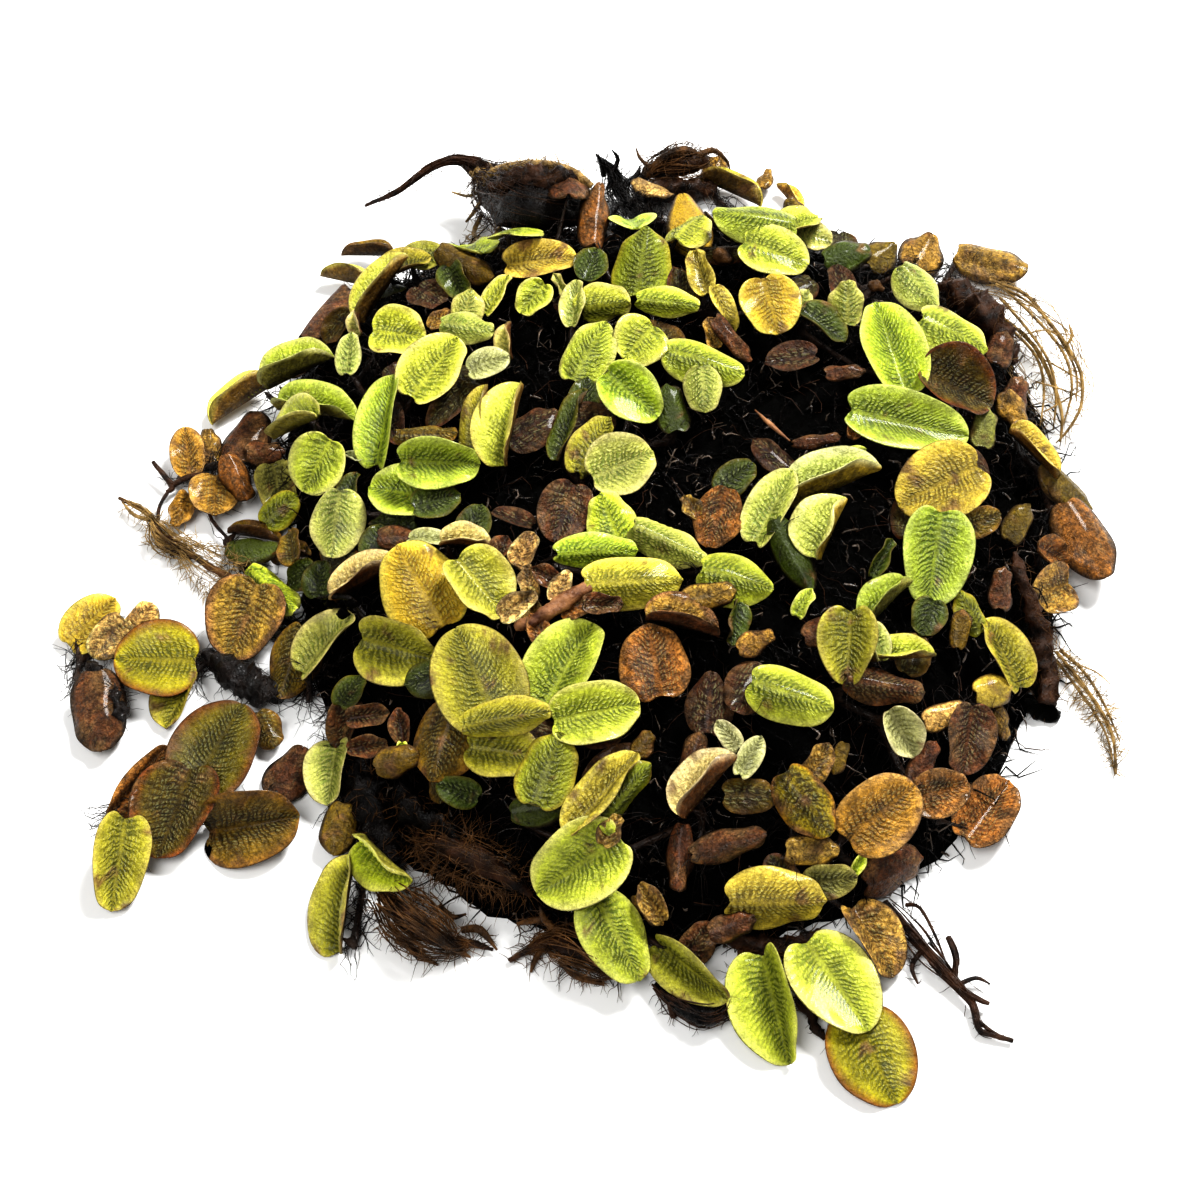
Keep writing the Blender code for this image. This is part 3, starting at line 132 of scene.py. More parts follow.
# The leaves by sprig. Columns: place in the view (across, down), length and width in mm,
# the way the tip points in the view in degrees (0 right, 90 up), fold, tint, level in the heap
SPRIGS = {
    "back_left_sprig_1": [
        (363, 252, 8.4, 5.8, 178, "shut_l", "olive", 1),
        (340, 276, 8.0, 6.6, 165, "shut_l", "lime_brown", 1),
        (384, 282, 12.4, 9.2, 50, "clam_r", "lime_brown", 2),
        (327, 310, 11.8, 10.4, 55, "back", "brown", 1),
    ],
    "back_left_sprig_2": [
        (301, 365, 11.8, 11.8, 25, "clam_r", "lime", 2),
        (236, 402, 11.4, 9.6, 215, "shut_l", "lime_brown", 1),
        (320, 410, 13.6, 10.2, -10, "clam_r", "green", 1),
        (288, 426, 13.6, 9.0, 190, "clam_l", "lime", 2),
    ],
    "left_sprig_1": [
        (249, 433, 9.6, 8.2, 70, "back", "brown", 1),
        (268, 452, 6.0, 4.6, 10, "back", "brown", 0),
        (278, 491, 9.2, 6.8, 285, "cup", "grey", 1),
        (315, 469, 8.8, 9.4, 240, "flat", "lime", 2),
        (350, 487, 5.5, 4.2, 70, "fold_r", "deep", 0),
    ],
    "left_sprig_2": [
        (187, 448, 8.3, 5.4, 100, "flat", "amber", 1),
        (209, 445, 6.2, 4.4, 100, "back", "tan", 0),
        (215, 497, 7.6, 7.8, 275, "flat", "amber", 1),
        (239, 481, 8.4, 6.2, 300, "back_fold", "rust", 1),
        (181, 511, 6.0, 4.4, 250, "fold_r", "amber", 0),
    ],
    "left_sprig_3": [
        (397, 491, 10.4, 8.6, 170, "cup", "bright", 1),
        (336, 528, 10.2, 8.4, 265, "dome", "pale", 2),
        (378, 541, 5.6, 5.2, 80, "flat", "deep", 0),
        (400, 537, 5.6, 4.2, 0, "back", "brown", 0),
        (361, 457, 4.2, 2.6, -15, "sliver", "cream", 0),
    ],
    "left_sprig_4": [
        (259, 534, 8.2, 5.2, -10, "clam_r", "olive", 0),
        (257, 549, 8.4, 6.0, -5, "back", "deep", 1),
        (294, 555, 6.6, 6.2, 10, "clam_r", "olive", 1),
        (277, 594, 12.6, 6.8, -45, "ridge", "bright", 2),
        (320, 577, 5.6, 5.2, 80, "flat", "deep", 0),
    ],
    "crown_sprig_1": [
        (349, 350, 6.8, 3.9, 85, "flat", "pale", 1),
        (357, 319, 4.8, 4.2, 100, "clam_r", "pale_brown", 1),
        (383, 413, 14.0, 8.8, 80, "fold_r", "bright", 2),
        (401, 333, 8.4, 8.8, -8, "cup", "lime", 1),
        (437, 362, 11.8, 9.6, 55, "cup", "lime", 2),
    ],
    "crown_sprig_2": [
        (431, 435, 9.2, 5.0, 0, "roof_l", "olive", 1),
        (445, 463, 11.6, 8.4, 0, "fold_l", "green", 2),
        (477, 422, 12.8, 7.0, 84, "half_r", "olive_lime", 1),
        (512, 416, 13.4, 12.0, 80, "clam_r", "lime_brown", 2),
    ],
    "crown_sprig_3": [
        (468, 305, 6.2, 5.2, 80, "dome", "pale", 1),
        (471, 328, 8.2, 5.6, -8, "saddle", "pale", 2),
        (498, 291, 7.2, 4.2, 60, "fold_r", "lime", 1),
        (508, 337, 6.2, 5.4, 95, "clam_r", "pale_brown", 1),
        (491, 362, 6.4, 4.8, 20, "flat", "cream", 2),
    ],
    "crown_sprig_4": [
        (531, 300, 6.0, 5.4, 230, "cup", "lime", 2),
        (560, 284, 5.2, 2.6, 120, "sliver", "pale", 1),
        (574, 299, 8.0, 4.6, 85, "fold_r", "pale", 1),
        (592, 348, 10.2, 7.8, 60, "dome", "lime", 2),
        (607, 304, 8.8, 7.4, 0, "roof_r", "lime", 1),
    ],
    "crown_sprig_5": [
        (637, 344, 7.2, 8.4, 230, "flat", "lime", 2),
        (635, 397, 10.0, 8.4, -40, "cup", "bright", 2),
        (671, 405, 7.8, 5.4, 100, "back", "deep", 0),
        (627, 462, 9.8, 9.6, 25, "cup", "pale", 2),
    ],
    "crown_sprig_6": [
        (570, 418, 11.4, 5.6, 70, "half_r", "deep", 1),
        (594, 442, 9.8, 7.0, 62, "roof_r", "olive_lime", 1),
        (563, 516, 8.8, 7.6, 250, "flat", "brown", 0),
        (526, 547, 5.6, 4.8, 60, "bowl", "pink", 0),
        (530, 606, 6.2, 4.2, 100, "bowl", "pink", 0),
    ],
    "back_sprig_1": [
        (430, 257, 7.6, 5.6, 0, "cup", "olive_lime", 1),
        (470, 267, 10.6, 8.0, -32, "back_fold", "olive", 1),
        (456, 282, 6.6, 5.4, -60, "fold_l", "deep", 0),
        (546, 259, 11.2, 7.0, 10, "cup", "straw", 1),
        (592, 262, 6.2, 5.6, 70, "cup", "deep", 0),
    ],
    "back_sprig_2": [
        (596, 213, 11.6, 7.6, 85, "back_fold", "rust", 1),
        (643, 259, 11.8, 10.8, 82, "saddle", "olive_green", 2),
    ],
    "back_sprig_3": [
        (657, 190, 7.4, 6.2, -25, "back", "pink", 1),
        (688, 220, 11.6, 7.6, 100, "back", "gold", 1),
        (699, 268, 8.2, 4.6, 105, "fold_r", "straw", 1),
    ],
    "back_sprig_4": [
        (737, 190, 10.8, 8.4, -25, "shut_r", "olive_lime", 1),
        (748, 220, 13.0, 9.4, 176, "saddle", "green", 2),
        (780, 254, 10.6, 8.2, -20, "flat", "lime", 2),
        (716, 166, 5.2, 4.6, 60, "back", "tan", 0),
        (703, 183, 5.0, 3.2, 45, "back", "olive", 0),
    ],
    "back_sprig_5": [
        (766, 178, 4.2, 2.8, 70, "back", "tan", 0),
        (787, 194, 6.2, 4.8, 125, "shut_l", "gold", 0),
        (795, 212, 6.0, 4.6, 120, "back", "olive", 0),
        (816, 237, 6.0, 5.2, -20, "flat", "pale", 1),
    ],
    "back_sprig_6": [
        (850, 254, 7.6, 6.0, 10, "back", "deep", 1),
        (883, 254, 6.2, 6.0, 40, "back", "olive", 1),
        (924, 250, 7.8, 8.2, 60, "back", "tan", 1),
        (920, 290, 8.6, 7.8, -50, "saddle", "pale", 2),
        (847, 300, 6.8, 6.4, 90, "saddle", "pale", 2),
    ],
    "back_right_sprig": [
        (997, 263, 12.0, 8.8, -20, "back", "tan", 1),
        (958, 337, 11.4, 8.4, -25, "dome", "lime", 1),
        (890, 339, 15.4, 10.4, 104, "cup", "bright", 2),
        (827, 326, 8.2, 7.0, -35, "fold_r", "deep", 0),
    ],
    "right_sprig_1": [
        (964, 387, 12.6, 13.4, -25, "bowl", "rimmed_dark", 2),
        (917, 424, 18.0, 9.6, -12, "cup", "green", 2),
        (1015, 411, 6.0, 5.2, -60, "back", "tan", 0),
        (1002, 346, 6.2, 5.2, 70, "back", "brown", 0),
        (1018, 390, 5.4, 4.6, 70, "back", "brown", 0),
    ],
    "right_sprig_2": [
        (934, 487, 13.4, 11.0, 205, "flat", "straw", 2),
        (935, 564, 13.8, 10.8, 262, "cup", "green", 1),
        (927, 620, 5.4, 5.0, 250, "flat", "deep", 0),
        (961, 626, 5.6, 3.4, 80, "back", "olive", 0),
    ],
    "right_sprig_3": [
        (1041, 454, 10.6, 8.0, -40, "half_r", "straw", 1),
        (1070, 490, 10.2, 8.6, -45, "back", "olive", 0),
        (1088, 545, 13.4, 9.4, -65, "back", "rust", 1),
    ],
    "right_sprig_4": [
        (1057, 556, 7.6, 6.2, -20, "bowl", "rust", 0),
        (1051, 591, 8.2, 8.2, 200, "cup", "tan", 1),
    ],
    "right_sprig_5": [
        (775, 500, 11.8, 7.6, 62, "fold_r", "pale", 1),
        (841, 482, 14.0, 12.0, 22, "shut_r", "pale_gold", 2),
        (832, 522, 9.6, 12.2, 66, "clam_r", "pale_gold", 2),
        (796, 560, 11.6, 7.0, -65, "back_fold", "deep", 0),
    ],
    "right_sprig_6": [
        (893, 597, 9.0, 8.4, 45, "shut_r", "green", 1),
        (884, 555, 6.2, 3.8, 60, "sliver", "deep", 0),
        (848, 651, 10.6, 9.2, 265, "fold_l", "olive_lime", 2),
        (906, 655, 9.8, 7.0, 5, "clam_r", "lime_brown", 1),
        (877, 637, 5.8, 4.0, 100, "fold_l", "pale", 0),
    ],
    "right_sprig_7": [
        (1003, 648, 11.0, 8.0, 115, "fold_l", "olive_lime", 1),
        (996, 690, 6.0, 5.4, 10, "back", "straw", 1),
        (948, 714, 6.8, 4.0, 20, "back", "pink", 0),
        (968, 744, 9.8, 7.8, 262, "cup", "brown", 1),
        (1003, 726, 4.8, 2.8, 285, "back", "tan", 0),
    ],
    "centre_sprig_1": [
        (797, 698, 11.8, 8.8, -20, "saddle", "green", 2),
        (889, 687, 11.2, 7.0, -10, "ridge", "brown", 1),
        (905, 736, 7.4, 7.0, -60, "bowl", "cream", 1),
        (926, 760, 6.8, 3.8, 60, "back", "brown", 0),
        (839, 761, 4.6, 2.6, 250, "back", "olive", 0),
    ],
    "front_right_sprig_1": [
        (886, 809, 11.6, 10.0, 40, "flat", "amber", 2),
        (810, 808, 10.4, 8.4, -55, "saddle", "fading", 1),
        (816, 851, 7.2, 5.0, 0, "back", "tan", 0),
        (897, 869, 9.6, 8.2, 20, "back", "brown", 0),
    ],
    "front_right_sprig_2": [
        (945, 791, 8.4, 7.0, 15, "cup", "rust", 1),
        (991, 804, 12.2, 8.6, 48, "cup", "rust", 1),
    ],
    "front_right_sprig_3": [
        (841, 990, 15.0, 10.6, -57, "flat", "lime", 2),
        (877, 1064, 12.8, 10.8, -62, "flat", "rimmed_lime", 0),
        (773, 1014, 15.2, 12.8, 283, "open_l", "green", 1),
    ],
    "front_right_sprig_4": [
        (783, 900, 13.4, 9.6, 0, "saddle", "straw", 2),
        (877, 944, 11.0, 9.2, -60, "fold_r", "tan", 1),
    ],
    "front_sprig_1": [
        (693, 975, 12.6, 8.4, -40, "half_l", "olive_lime", 1),
        (619, 943, 13.0, 8.8, -58, "dome", "green", 2),
        (652, 911, 5.4, 3.6, -50, "back", "tan", 0),
        (680, 862, 8.8, 5.4, 265, "back_fold", "brown", 0),
        (572, 870, 13.8, 11.6, 215, "cup", "lime", 2),
    ],
    "front_sprig_2": [
        (733, 843, 10.4, 6.0, 15, "back_fold", "brown", 1),
        (712, 781, 10.8, 10.4, 50, "shut_r", "cream_brown", 2),
        (694, 757, 7.8, 5.4, 75, "back_fold", "brown", 0),
        (726, 733, 4.8, 3.0, 130, "flat", "cream", 1),
        (752, 753, 6.0, 3.4, 60, "flat", "cream", 1),
    ],
    "front_sprig_3": [
        (607, 785, 13.6, 7.6, 50, "half_r", "straw", 2),
        (627, 789, 10.4, 6.4, 50, "roof_r", "olive_green", 1),
        (550, 764, 10.2, 8.0, 70, "dome", "olive_green", 2),
        (545, 808, 8.2, 5.2, 10, "back", "deep", 0),
        (645, 742, 3.8, 3.2, 60, "back", "olive", 1),
    ],
    "centre_sprig_2": [
        (474, 670, 15.0, 12.4, 115, "flat", "olive_lime", 2),
        (443, 747, 11.2, 11.0, 255, "saddle", "olive", 1),
        (512, 717, 12.2, 6.6, 10, "roof_r", "olive_lime", 2),
        (508, 752, 10.2, 8.0, -8, "cup", "olive_lime", 1),
    ],
    "centre_sprig_3": [
        (570, 657, 13.2, 11.4, 60, "fold_r", "green", 1),
        (602, 711, 12.0, 9.0, 12, "cup", "lime", 2),
        (653, 656, 10.2, 9.8, 100, "dome", "rust", 1),
        (689, 624, 10.3, 9.4, -10, "clam_r", "amber_brown", 1),
    ],
    "centre_sprig_4": [
        (417, 581, 13.6, 11.8, 120, "dome", "gold", 2),
        (484, 588, 10.6, 10.4, -50, "fold_r", "straw_lime", 1),
        (401, 651, 11.0, 11.2, -15, "fold_l", "olive_lime", 1),
        (369, 575, 11.0, 8.8, 32, "clam_r", "cream_brown", 1),
        (470, 542, 7.2, 6.6, 0, "clam_r", "cream_brown", 1),
    ],
    "centre_sprig_5": [
        (609, 516, 8.2, 7.0, 110, "dome", "bright", 1),
        (602, 551, 11.4, 6.0, 4, "roof_r", "bright", 2),
        (640, 582, 13.6, 8.8, 4, "saddle", "straw_lime", 2),
        (673, 546, 11.2, 8.4, -25, "ridge", "pale", 1),
        (741, 581, 10.4, 8.6, -15, "saddle", "green", 1),
    ],
    "centre_sprig_7": [
        (716, 522, 9.4, 7.8, 250, "saddle", "rust", 0),
        (713, 595, 7.6, 4.4, 10, "back", "tan", 1),
        (758, 641, 5.4, 3.6, 25, "back", "tan", 0),
        (736, 626, 6.2, 4.6, 260, "half_r", "deep", 0),
    ],
    "crown_sprig_7": [
        (710, 365, 12.0, 7.8, -17, "saddle", "lime", 2),
        (703, 393, 7.0, 6.4, 272, "saddle", "pale", 2),
        (672, 303, 9.6, 5.6, -8, "roof_r", "lime", 1),
        (772, 309, 9.2, 9.2, 285, "flat", "gold", 2),
        (726, 311, 7.6, 3.8, -65, "fold_r", "straw", 0),
    ],
    "far_left_sprig_1": [
        (95, 618, 9.6, 7.4, 45, "flat", "gold", 1),
        (106, 640, 7.2, 6.2, 230, "dome", "pink", 1),
        (150, 659, 11.6, 11.4, 180, "flat", "rimmed_lime", 2),
        (143, 618, 6.2, 5.0, 60, "dome", "pink", 0),
        (99, 717, 12.6, 8.6, 280, "back", "brown", 1),
    ],
    "far_left_sprig_2": [
        (242, 624, 12.2, 12.2, 250, "cup", "amber_brown", 2),
        (291, 667, 11.2, 8.6, 250, "saddle", "olive", 1),
        (327, 638, 11.4, 8.8, 50, "fold_r", "pale", 2),
        (174, 703, 9.0, 8.4, 250, "fold_l", "olive_lime", 0),
    ],
    "front_left_sprig_1": [
        (220, 741, 14.4, 12.0, 60, "flat", "rimmed_olive", 2),
        (147, 776, 12.6, 7.6, 55, "half_l", "rust", 0),
        (171, 816, 14.4, 12.8, 255, "cup", "rimmed_dark", 1),
        (268, 733, 6.2, 5.2, -60, "saddle", "olive", 0),
        (118, 869, 13.2, 9.0, 265, "fold_r", "olive_lime", 1),
    ],
    "front_left_sprig_2": [
        (257, 824, 13.4, 12.4, 5, "fold_l", "olive", 1),
        (291, 769, 8.2, 7.0, 60, "back", "brown", 0),
    ],
    "front_left_sprig_3": [
        (329, 776, 9.6, 8.2, 265, "fold_l", "pale", 2),
        (338, 833, 7.6, 5.8, 260, "back", "olive", 1),
        (341, 893, 14.4, 10.4, 84, "half_r", "olive_lime", 1),
        (386, 862, 10.8, 10.2, -45, "clam_l", "bright", 2),
        (344, 728, 7.6, 6.8, 250, "bowl", "brown", 1),
        (370, 715, 6.2, 4.4, 10, "bowl", "brown", 0),
        (369, 746, 5.8, 4.0, 10, "bowl", "brown", 0),
        (400, 757, 3.6, 2.4, 260, "fold_r", "bright", 1),
        (352, 688, 5.4, 4.4, 60, "flat", "deep", 0),
    ],
}

# Leaves on the far slope, which the view doesn't show: the same columns in the view from behind
FAR_SPRIGS = {
    "far_slope_sprig_1": [
        (700, 930, 10.0, 8.4, 250, "dome", "lime", 2),
        (762, 958, 9.2, 8.0, 300, "cup", "green", 1),
        (835, 935, 8.6, 7.4, 200, "fold_l", "olive_lime", 1),
        (640, 985, 8.4, 7.0, 270, "back", "brown", 1),
    ],
    "far_slope_sprig_2": [
        (560, 968, 9.0, 7.8, 275, "cup", "bright", 2),
        (486, 945, 9.4, 7.8, 240, "saddle", "lime", 2),
        (410, 948, 8.4, 7.0, 300, "dome", "green", 1),
        (345, 965, 8.0, 6.8, 220, "fold_l", "lime_brown", 1),
    ],
}

# Roots that trail from the heap. Columns: place in the view, radius in mm,
# height over what it lies on in mm, from one end to the other
ROOTS = {
    "back_left_root": [
        (366, 205, 0.4, 3),
        (398, 191, 0.6, 7),
        (430, 168, 0.9, 9),
        (456, 160, 1.1, 9),
        (480, 169, 1.9, 6.5),
        (499, 194, 5.2, 3),
        (530, 207, 6.5, 2),
        (561, 207, 5.4, 2),
        (585, 204, 2.4, 3),
    ],
    "back_root_tuft": [
        (641, 178, 1.2, 1),
        (660, 168, 3.0, 1),
        (682, 164, 4.0, 1),
        (700, 162, 2.6, 2),
        (706, 152, 0.9, 4),
    ],
    "back_dark_root": [
        (598, 158, 0.6, 5),
        (612, 172, 1.5, 3),
        (622, 196, 2.7, 1),
        (640, 222, 2.4, 0),
        (650, 236, 1.2, 0),
    ],
    "right_root_plume": [
        (968, 300, 2.4, 0),
        (1000, 316, 4.6, 0),
        (1034, 346, 6.4, 0),
        (1053, 384, 5.6, 0),
        (1062, 416, 3.4, 0),
        (1060, 442, 0.9, 0),
    ],
    "right_feather_root": [
        (1056, 652, 0.9, 0.5),
        (1078, 678, 0.9, 0.8),
        (1098, 706, 0.8, 0.8),
        (1113, 738, 0.6, 0.4),
        (1116, 774, 0.35, 0),
    ],
    "front_left_plume": [
        (384, 892, 2.6, 0),
        (404, 914, 4.4, 0),
        (430, 932, 4.2, 0),
        (452, 944, 2.2, 0),
        (474, 944, 0.9, 0),
        (493, 950, 0.4, 0),
    ],
    "front_hairy_root": [
        (418, 834, 1.6, 0),
        (446, 848, 3.6, 0),
        (480, 862, 3.8, 0),
        (508, 878, 2.4, 0),
        (532, 896, 0.8, 0),
    ],
    "front_root_feet": [
        (624, 974, 1.4, 0),
        (598, 960, 3.0, 0),
        (570, 946, 3.4, 0),
        (546, 942, 1.8, 0),
        (528, 950, 1.0, 0),
        (509, 961, 0.4, 0),
    ],
    "front_dark_root": [
        (656, 984, 1.0, 0),
        (678, 1002, 1.9, 0),
        (704, 1014, 2.2, 0),
        (728, 1004, 1.8, 0),
        (740, 984, 1.0, 0),
    ],
    "left_root": [
        (119, 498, 0.35, 1),
        (148, 514, 0.8, 1),
        (162, 537, 2.4, 0),
        (184, 549, 2.0, 0),
        (208, 566, 3.4, 0),
        (232, 580, 3.8, 0),
        (246, 592, 1.8, 0),
    ],
    "left_twig": [
        (153, 462, 0.5, 2),
        (172, 483, 0.8, 1),
        (186, 478, 0.7, 1),
        (200, 474, 0.5, 1),
    ],
    "front_twig": [
        (884, 903, 1.5, 0),
        (908, 930, 1.8, 0),
        (934, 960, 1.6, 0),
        (958, 986, 1.2, 0),
        (973, 1006, 1.0, 0),
        (979, 1029, 0.8, 0),
        (996, 1036, 0.6, 0),
        (1013, 1041, 0.35, 0),
    ],
}
SIDE_TWIGS = {
    "front_twig": [
        [(948, 937, 0.5, 1.5), (956, 958, 0.7, 1.2), (954, 980, 0.8, 0.4)],
        [(956, 986, 0.8, 0.4), (972, 996, 0.7, 0.8), (989, 1004, 0.5, 0.6)],
    ],
}

# How far blades face the view over the mound and beside it, and how many degrees they stray
FACING_MOUND = 0.6
FACING_GROUND = 0.25
TURN_SPREAD = 7

# Tried in turn until a blade is clear: tilts in degrees about its width and its length, after each lift
TILT_TRIES = [(0, 0), (9, 0), (-9, 0), (0, 12), (0, -12), (17, 8), (-17, -8)]
LIFT_STEP = 0.5 * MM
LIFT_TRIES = 24

# How closely a view line is followed down to the heap, and how near corners are that are one or match
SEARCH_HALVINGS = 20
JOINING = 0.001 * MM
MATCHING = 0.03 * MM

# Small leaves between the larger ones, in the columns of SPRIGS
SMALL_LEAVES = [
    (442, 318, 4.5, 3.5, 40, "bowl", "tan", 0),
    (712, 330, 5.0, 3.6, 100, "bowl", "tan", 0),
    (803, 300, 4.6, 3.4, 60, "cup", "pale", 0),
    (985, 425, 6.0, 4.6, 80, "back", "grey", 0),
    (848, 372, 6.0, 2.8, 5, "back", "brown", 0),
    (858, 425, 5.0, 4.0, 60, "bowl", "rust", 0),
    (820, 440, 7.2, 2.6, 10, "back_fold", "brown", 0),
    (735, 343, 8.6, 3.2, -50, "back", "brown", 0),
    (840, 455, 9.2, 2.2, 15, "roof_r", "green", 1),
    (430, 538, 5.6, 3.4, 0, "fold_r", "cream", 0),
    (500, 548, 5.0, 4.2, 60, "bowl", "brown", 0),
    (529, 580, 5.0, 4.0, 100, "bowl", "pink", 0),
    (440, 500, 7.0, 5.6, 20, "flat", "deep", 0),
    (475, 521, 6.2, 5.0, 70, "flat", "deep", 0),
    (585, 393, 6.0, 4.6, 80, "flat", "deep", 0),
    (738, 475, 6.6, 4.8, 40, "flat", "deep", 0),
    (690, 505, 4.0, 3.4, 120, "bowl", "tan", 0),
    (825, 630, 5.6, 4.6, 20, "back", "brown", 0),
    (805, 600, 4.4, 3.0, 60, "fold_r", "lime", 0),
    (400, 723, 5.0, 4.0, 100, "bowl", "brown", 0),
    (858, 865, 5.4, 2.2, 60, "sliver", "bright", 0),
    (835, 880, 7.0, 5.0, 10, "flat", "grey", 0),
    (612, 828, 4.6, 3.8, 60, "bowl", "tan", 0),
    (520, 604, 6.0, 4.4, 30, "bowl", "pink", 2),
    (538, 628, 5.4, 3.4, 120, "cup", "rust", 2),
    (562, 584, 5.0, 3.0, 60, "cup", "pink", 3),
    (584, 604, 6.0, 3.4, 20, "cup", "rust", 2),
    (606, 604, 5.6, 3.6, 0, "bowl", "brown", 1),
    (545, 575, 5.0, 3.6, 150, "bowl", "brown", 2),
    (283, 507, 6.6, 5.4, 40, "dome", "olive_green", 0),
    (290, 543, 6.6, 5.0, 110, "cup", "olive", 0),
    (297, 578, 6.0, 5.0, 200, "flat", "deep", 0),
    (1020, 520, 6.4, 4.6, 60, "back", "olive", 0),
    (1002, 585, 6.4, 4.0, 80, "back", "brown", 0),
    (985, 520, 6.0, 4.4, 20, "flat", "olive", 0),
    (968, 610, 6.6, 4.6, 120, "saddle", "olive_green", 0),
    (700, 940, 6.2, 4.6, 60, "flat", "brown", 0),
    (735, 925, 6.4, 4.0, 20, "back", "brown", 0),
    (650, 900, 6.0, 4.4, 120, "bowl", "tan", 0),
    (790, 700, 6.4, 4.0, 10, "saddle", "olive", 0),
    (820, 760, 6.0, 4.2, 60, "cup", "tan", 0),
    (400, 760, 6.4, 4.6, 20, "back", "olive", 0),
    (455, 790, 6.0, 4.4, 160, "flat", "deep", 0),
]

# The colours of each tint as sRGB: ridges, grooves, rim and the other face, then how much of it has browned
TINTS = {
    "lime": ("c8cf45", "6c8018", "dfda7c", "948a3c", 0.05),
    "lime_brown": ("d0d34d", "7a871c", "e0d46a", "86662a", 0.15),
    "bright": ("c2d23a", "628416", "dbe072", "929034", 0.0),
    "green": ("a9b338", "4f6711", "c4ca62", "7c7326", 0.05),
    "pale": ("bec061", "7b912f", "d3cb82", "8e8940", 0.0),
    "pale_brown": ("cdc66b", "8a923a", "e1ce89", "6a4218", 0.15),
    "pale_gold": ("d0d46c", "737f26", "ece59a", "b3942c", 0.1),
    "cream": ("bdbc80", "8b8c46", "d2cc98", "8f804c", 0.05),
    "cream_brown": ("e0ca7f", "a2883e", "f8e0a2", "71471d", 0.3),
    "straw": ("c3ad40", "7d6b18", "ddc75c", "7d5a1c", 0.3),
    "straw_lime": ("c7c045", "798019", "e1d26f", "826a27", 0.15),
    "gold": ("cdac34", "a07c22", "dbc65c", "946b22", 0.2),
    "amber": ("b98a30", "74501a", "cfa255", "80521c", 0.4),
    "amber_brown": ("b3913a", "6b4a16", "b08050", "6a4220", 0.5),
    "fading": ("897b14", "473f04", "a1761b", "583206", 0.6),
    "olive_lime": ("a39c2c", "545a0e", "bdb150", "5f4814", 0.25),
    "olive_green": ("949825", "4b540d", "b0a138", "5a460f", 0.2),
    "olive": ("7a6214", "392e06", "8f6a24", "4a3010", 0.4),
    "rimmed_lime": ("a19815", "585e07", "845510", "503206", 0.15),
    "rimmed_olive": ("6f630a", "393802", "6e3f0a", "3a2102", 0.3),
    "rimmed_dark": ("5f4d09", "2b2303", "7b3e0d", "391f03", 0.45),
    # The next tint is a dark green that paints the shade that low leaves among the others lie in
    "deep": ("46520c", "151c02", "5c5a12", "2b2304", 0.15),
    "grey": ("949149", "515222", "b0a95a", "6c592a", 0.3),
    "tan": ("ae8a3b", "6c4a18", "c6a454", "82591f", 0.6),
    "pink": ("e3b96c", "966c3a", "fae698", "ac824a", 0.6),
    "rust": ("a06a2c", "5c3614", "b58345", "6b4418", 0.55),
    "brown": ("6a4020", "30180a", "805030", "3a1f0e", 0.7),
}
BROWNED = "6f5230"
BROWN_PATCH = 2.6 * MM
STALK_COLOUR = "2c1b0e"
ROOTLET_COLOUR = "1c1009"
VEIN_COLOUR = (0.05, 0.02, 0.006, 1)
BEAD_COLOUR = (0.75, 0.8, 0.4, 1)

# The fine form of a blade
COLUMNS = np.array((0, 0.12, 0.26, 0.41, 0.57, 0.73, 0.87, 0.965, 1))
UNDER_COLUMNS = np.array((0, 0.41, 0.73, 1))
RIDGE_SPACING = 0.56 * MM
ROWS_PER_RIDGE = 2
RIDGE_HEIGHT = 0.1 * MM
RIDGE_STRAY = 0.1 * MM
RIDGED_SHARE = 0.78
FEWEST_RIDGES = 5
LAST_ROW = 0.985
FINE_NOTCH = 0.085
FINE_NOTCH_ANGLE = 0.2
FINE_ROUNDNESS = 0.9
FINE_GROWTH = 1.07
BASE_ROWS = 5
FINE_SWEEP = 0.52
RIDGE_CURVE = 1.35
CREASE = 0.6 * MM
LEAF_HALF = 0.15 * MM
EDGE_WAVE = 0.24 * MM
FLARE_FROM = 80
FLARE = 50
FLARE_BAND = (0.26, 0.5)
SECTION_REACH = 0.62
SECTION_STEPS = 90
FINE_RISE = 0.6 * MM

# Each point's values: their kind and the field that holds them
ATTRIBUTES = {
    "tint": ("FLOAT_COLOR", "color"),
    "shade": ("FLOAT_COLOR", "color"),
    "grain": ("FLOAT_VECTOR", "vector"),
    "age": ("FLOAT", "value"),
}

# How high the relief of the finishes is, and how many mm apart the beads on a ridge are
BEAD_SPACING = 0.5
BEAD_RELIEF = 0.16 * MM
RIDGE_RELIEF = 0.1 * MM
PUCKER_RELIEF = 0.5 * MM
WRINKLE_RELIEF = 0.8 * MM
VEIN_RELIEF = 0.12 * MM
ROOT_RELIEF = 0.25 * MM

# The mound's lumps: how many to a metre, how high, how far the mound is drawn in for them,
# and the upward part of a face's normal from which roots lie on it
MOUND_LUMPS = 450
MOUND_LUMP_HEIGHT = 1.1 * MM
MOUND_SHRINK = 0.2 * MM
ROOTED_SLOPE = 0.4

# What the strands tree is given: strands to a square metre, their length, radius, lean in radians,
# how far they wander, curls to a metre, how far their tips sag, and where chance starts
STRAND_INPUTS = {
    "Count": "Float",
    "Length": "Float",
    "Radius": "Float",
    "Lean": "Float",
    "Wander": "Float",
    "Curls": "Float",
    "Sag": "Float",
    "Seed": "Int",
    "Material": "Material",
}
STRAND_POINTS = 6

# The layers of the tangle: a finish, then the strands' settings
TANGLE = [
    ("tangle", 130000.0, 9 * MM, 0.16 * MM, 1.5, 4.5 * MM, 240.0, 4 * MM, 3),
    ("umber", 40000.0, 10 * MM, 0.1 * MM, 1.5, 4 * MM, 160.0, 4 * MM, 11),
    # The third layer's pale streaks are painted highlights standing in for glints on wet roots, over real
    # shine
    ("glossy", 80000.0, 3 * MM, 0.2 * MM, 1.4, 4 * MM, 400.0, 1 * MM, 17),
]

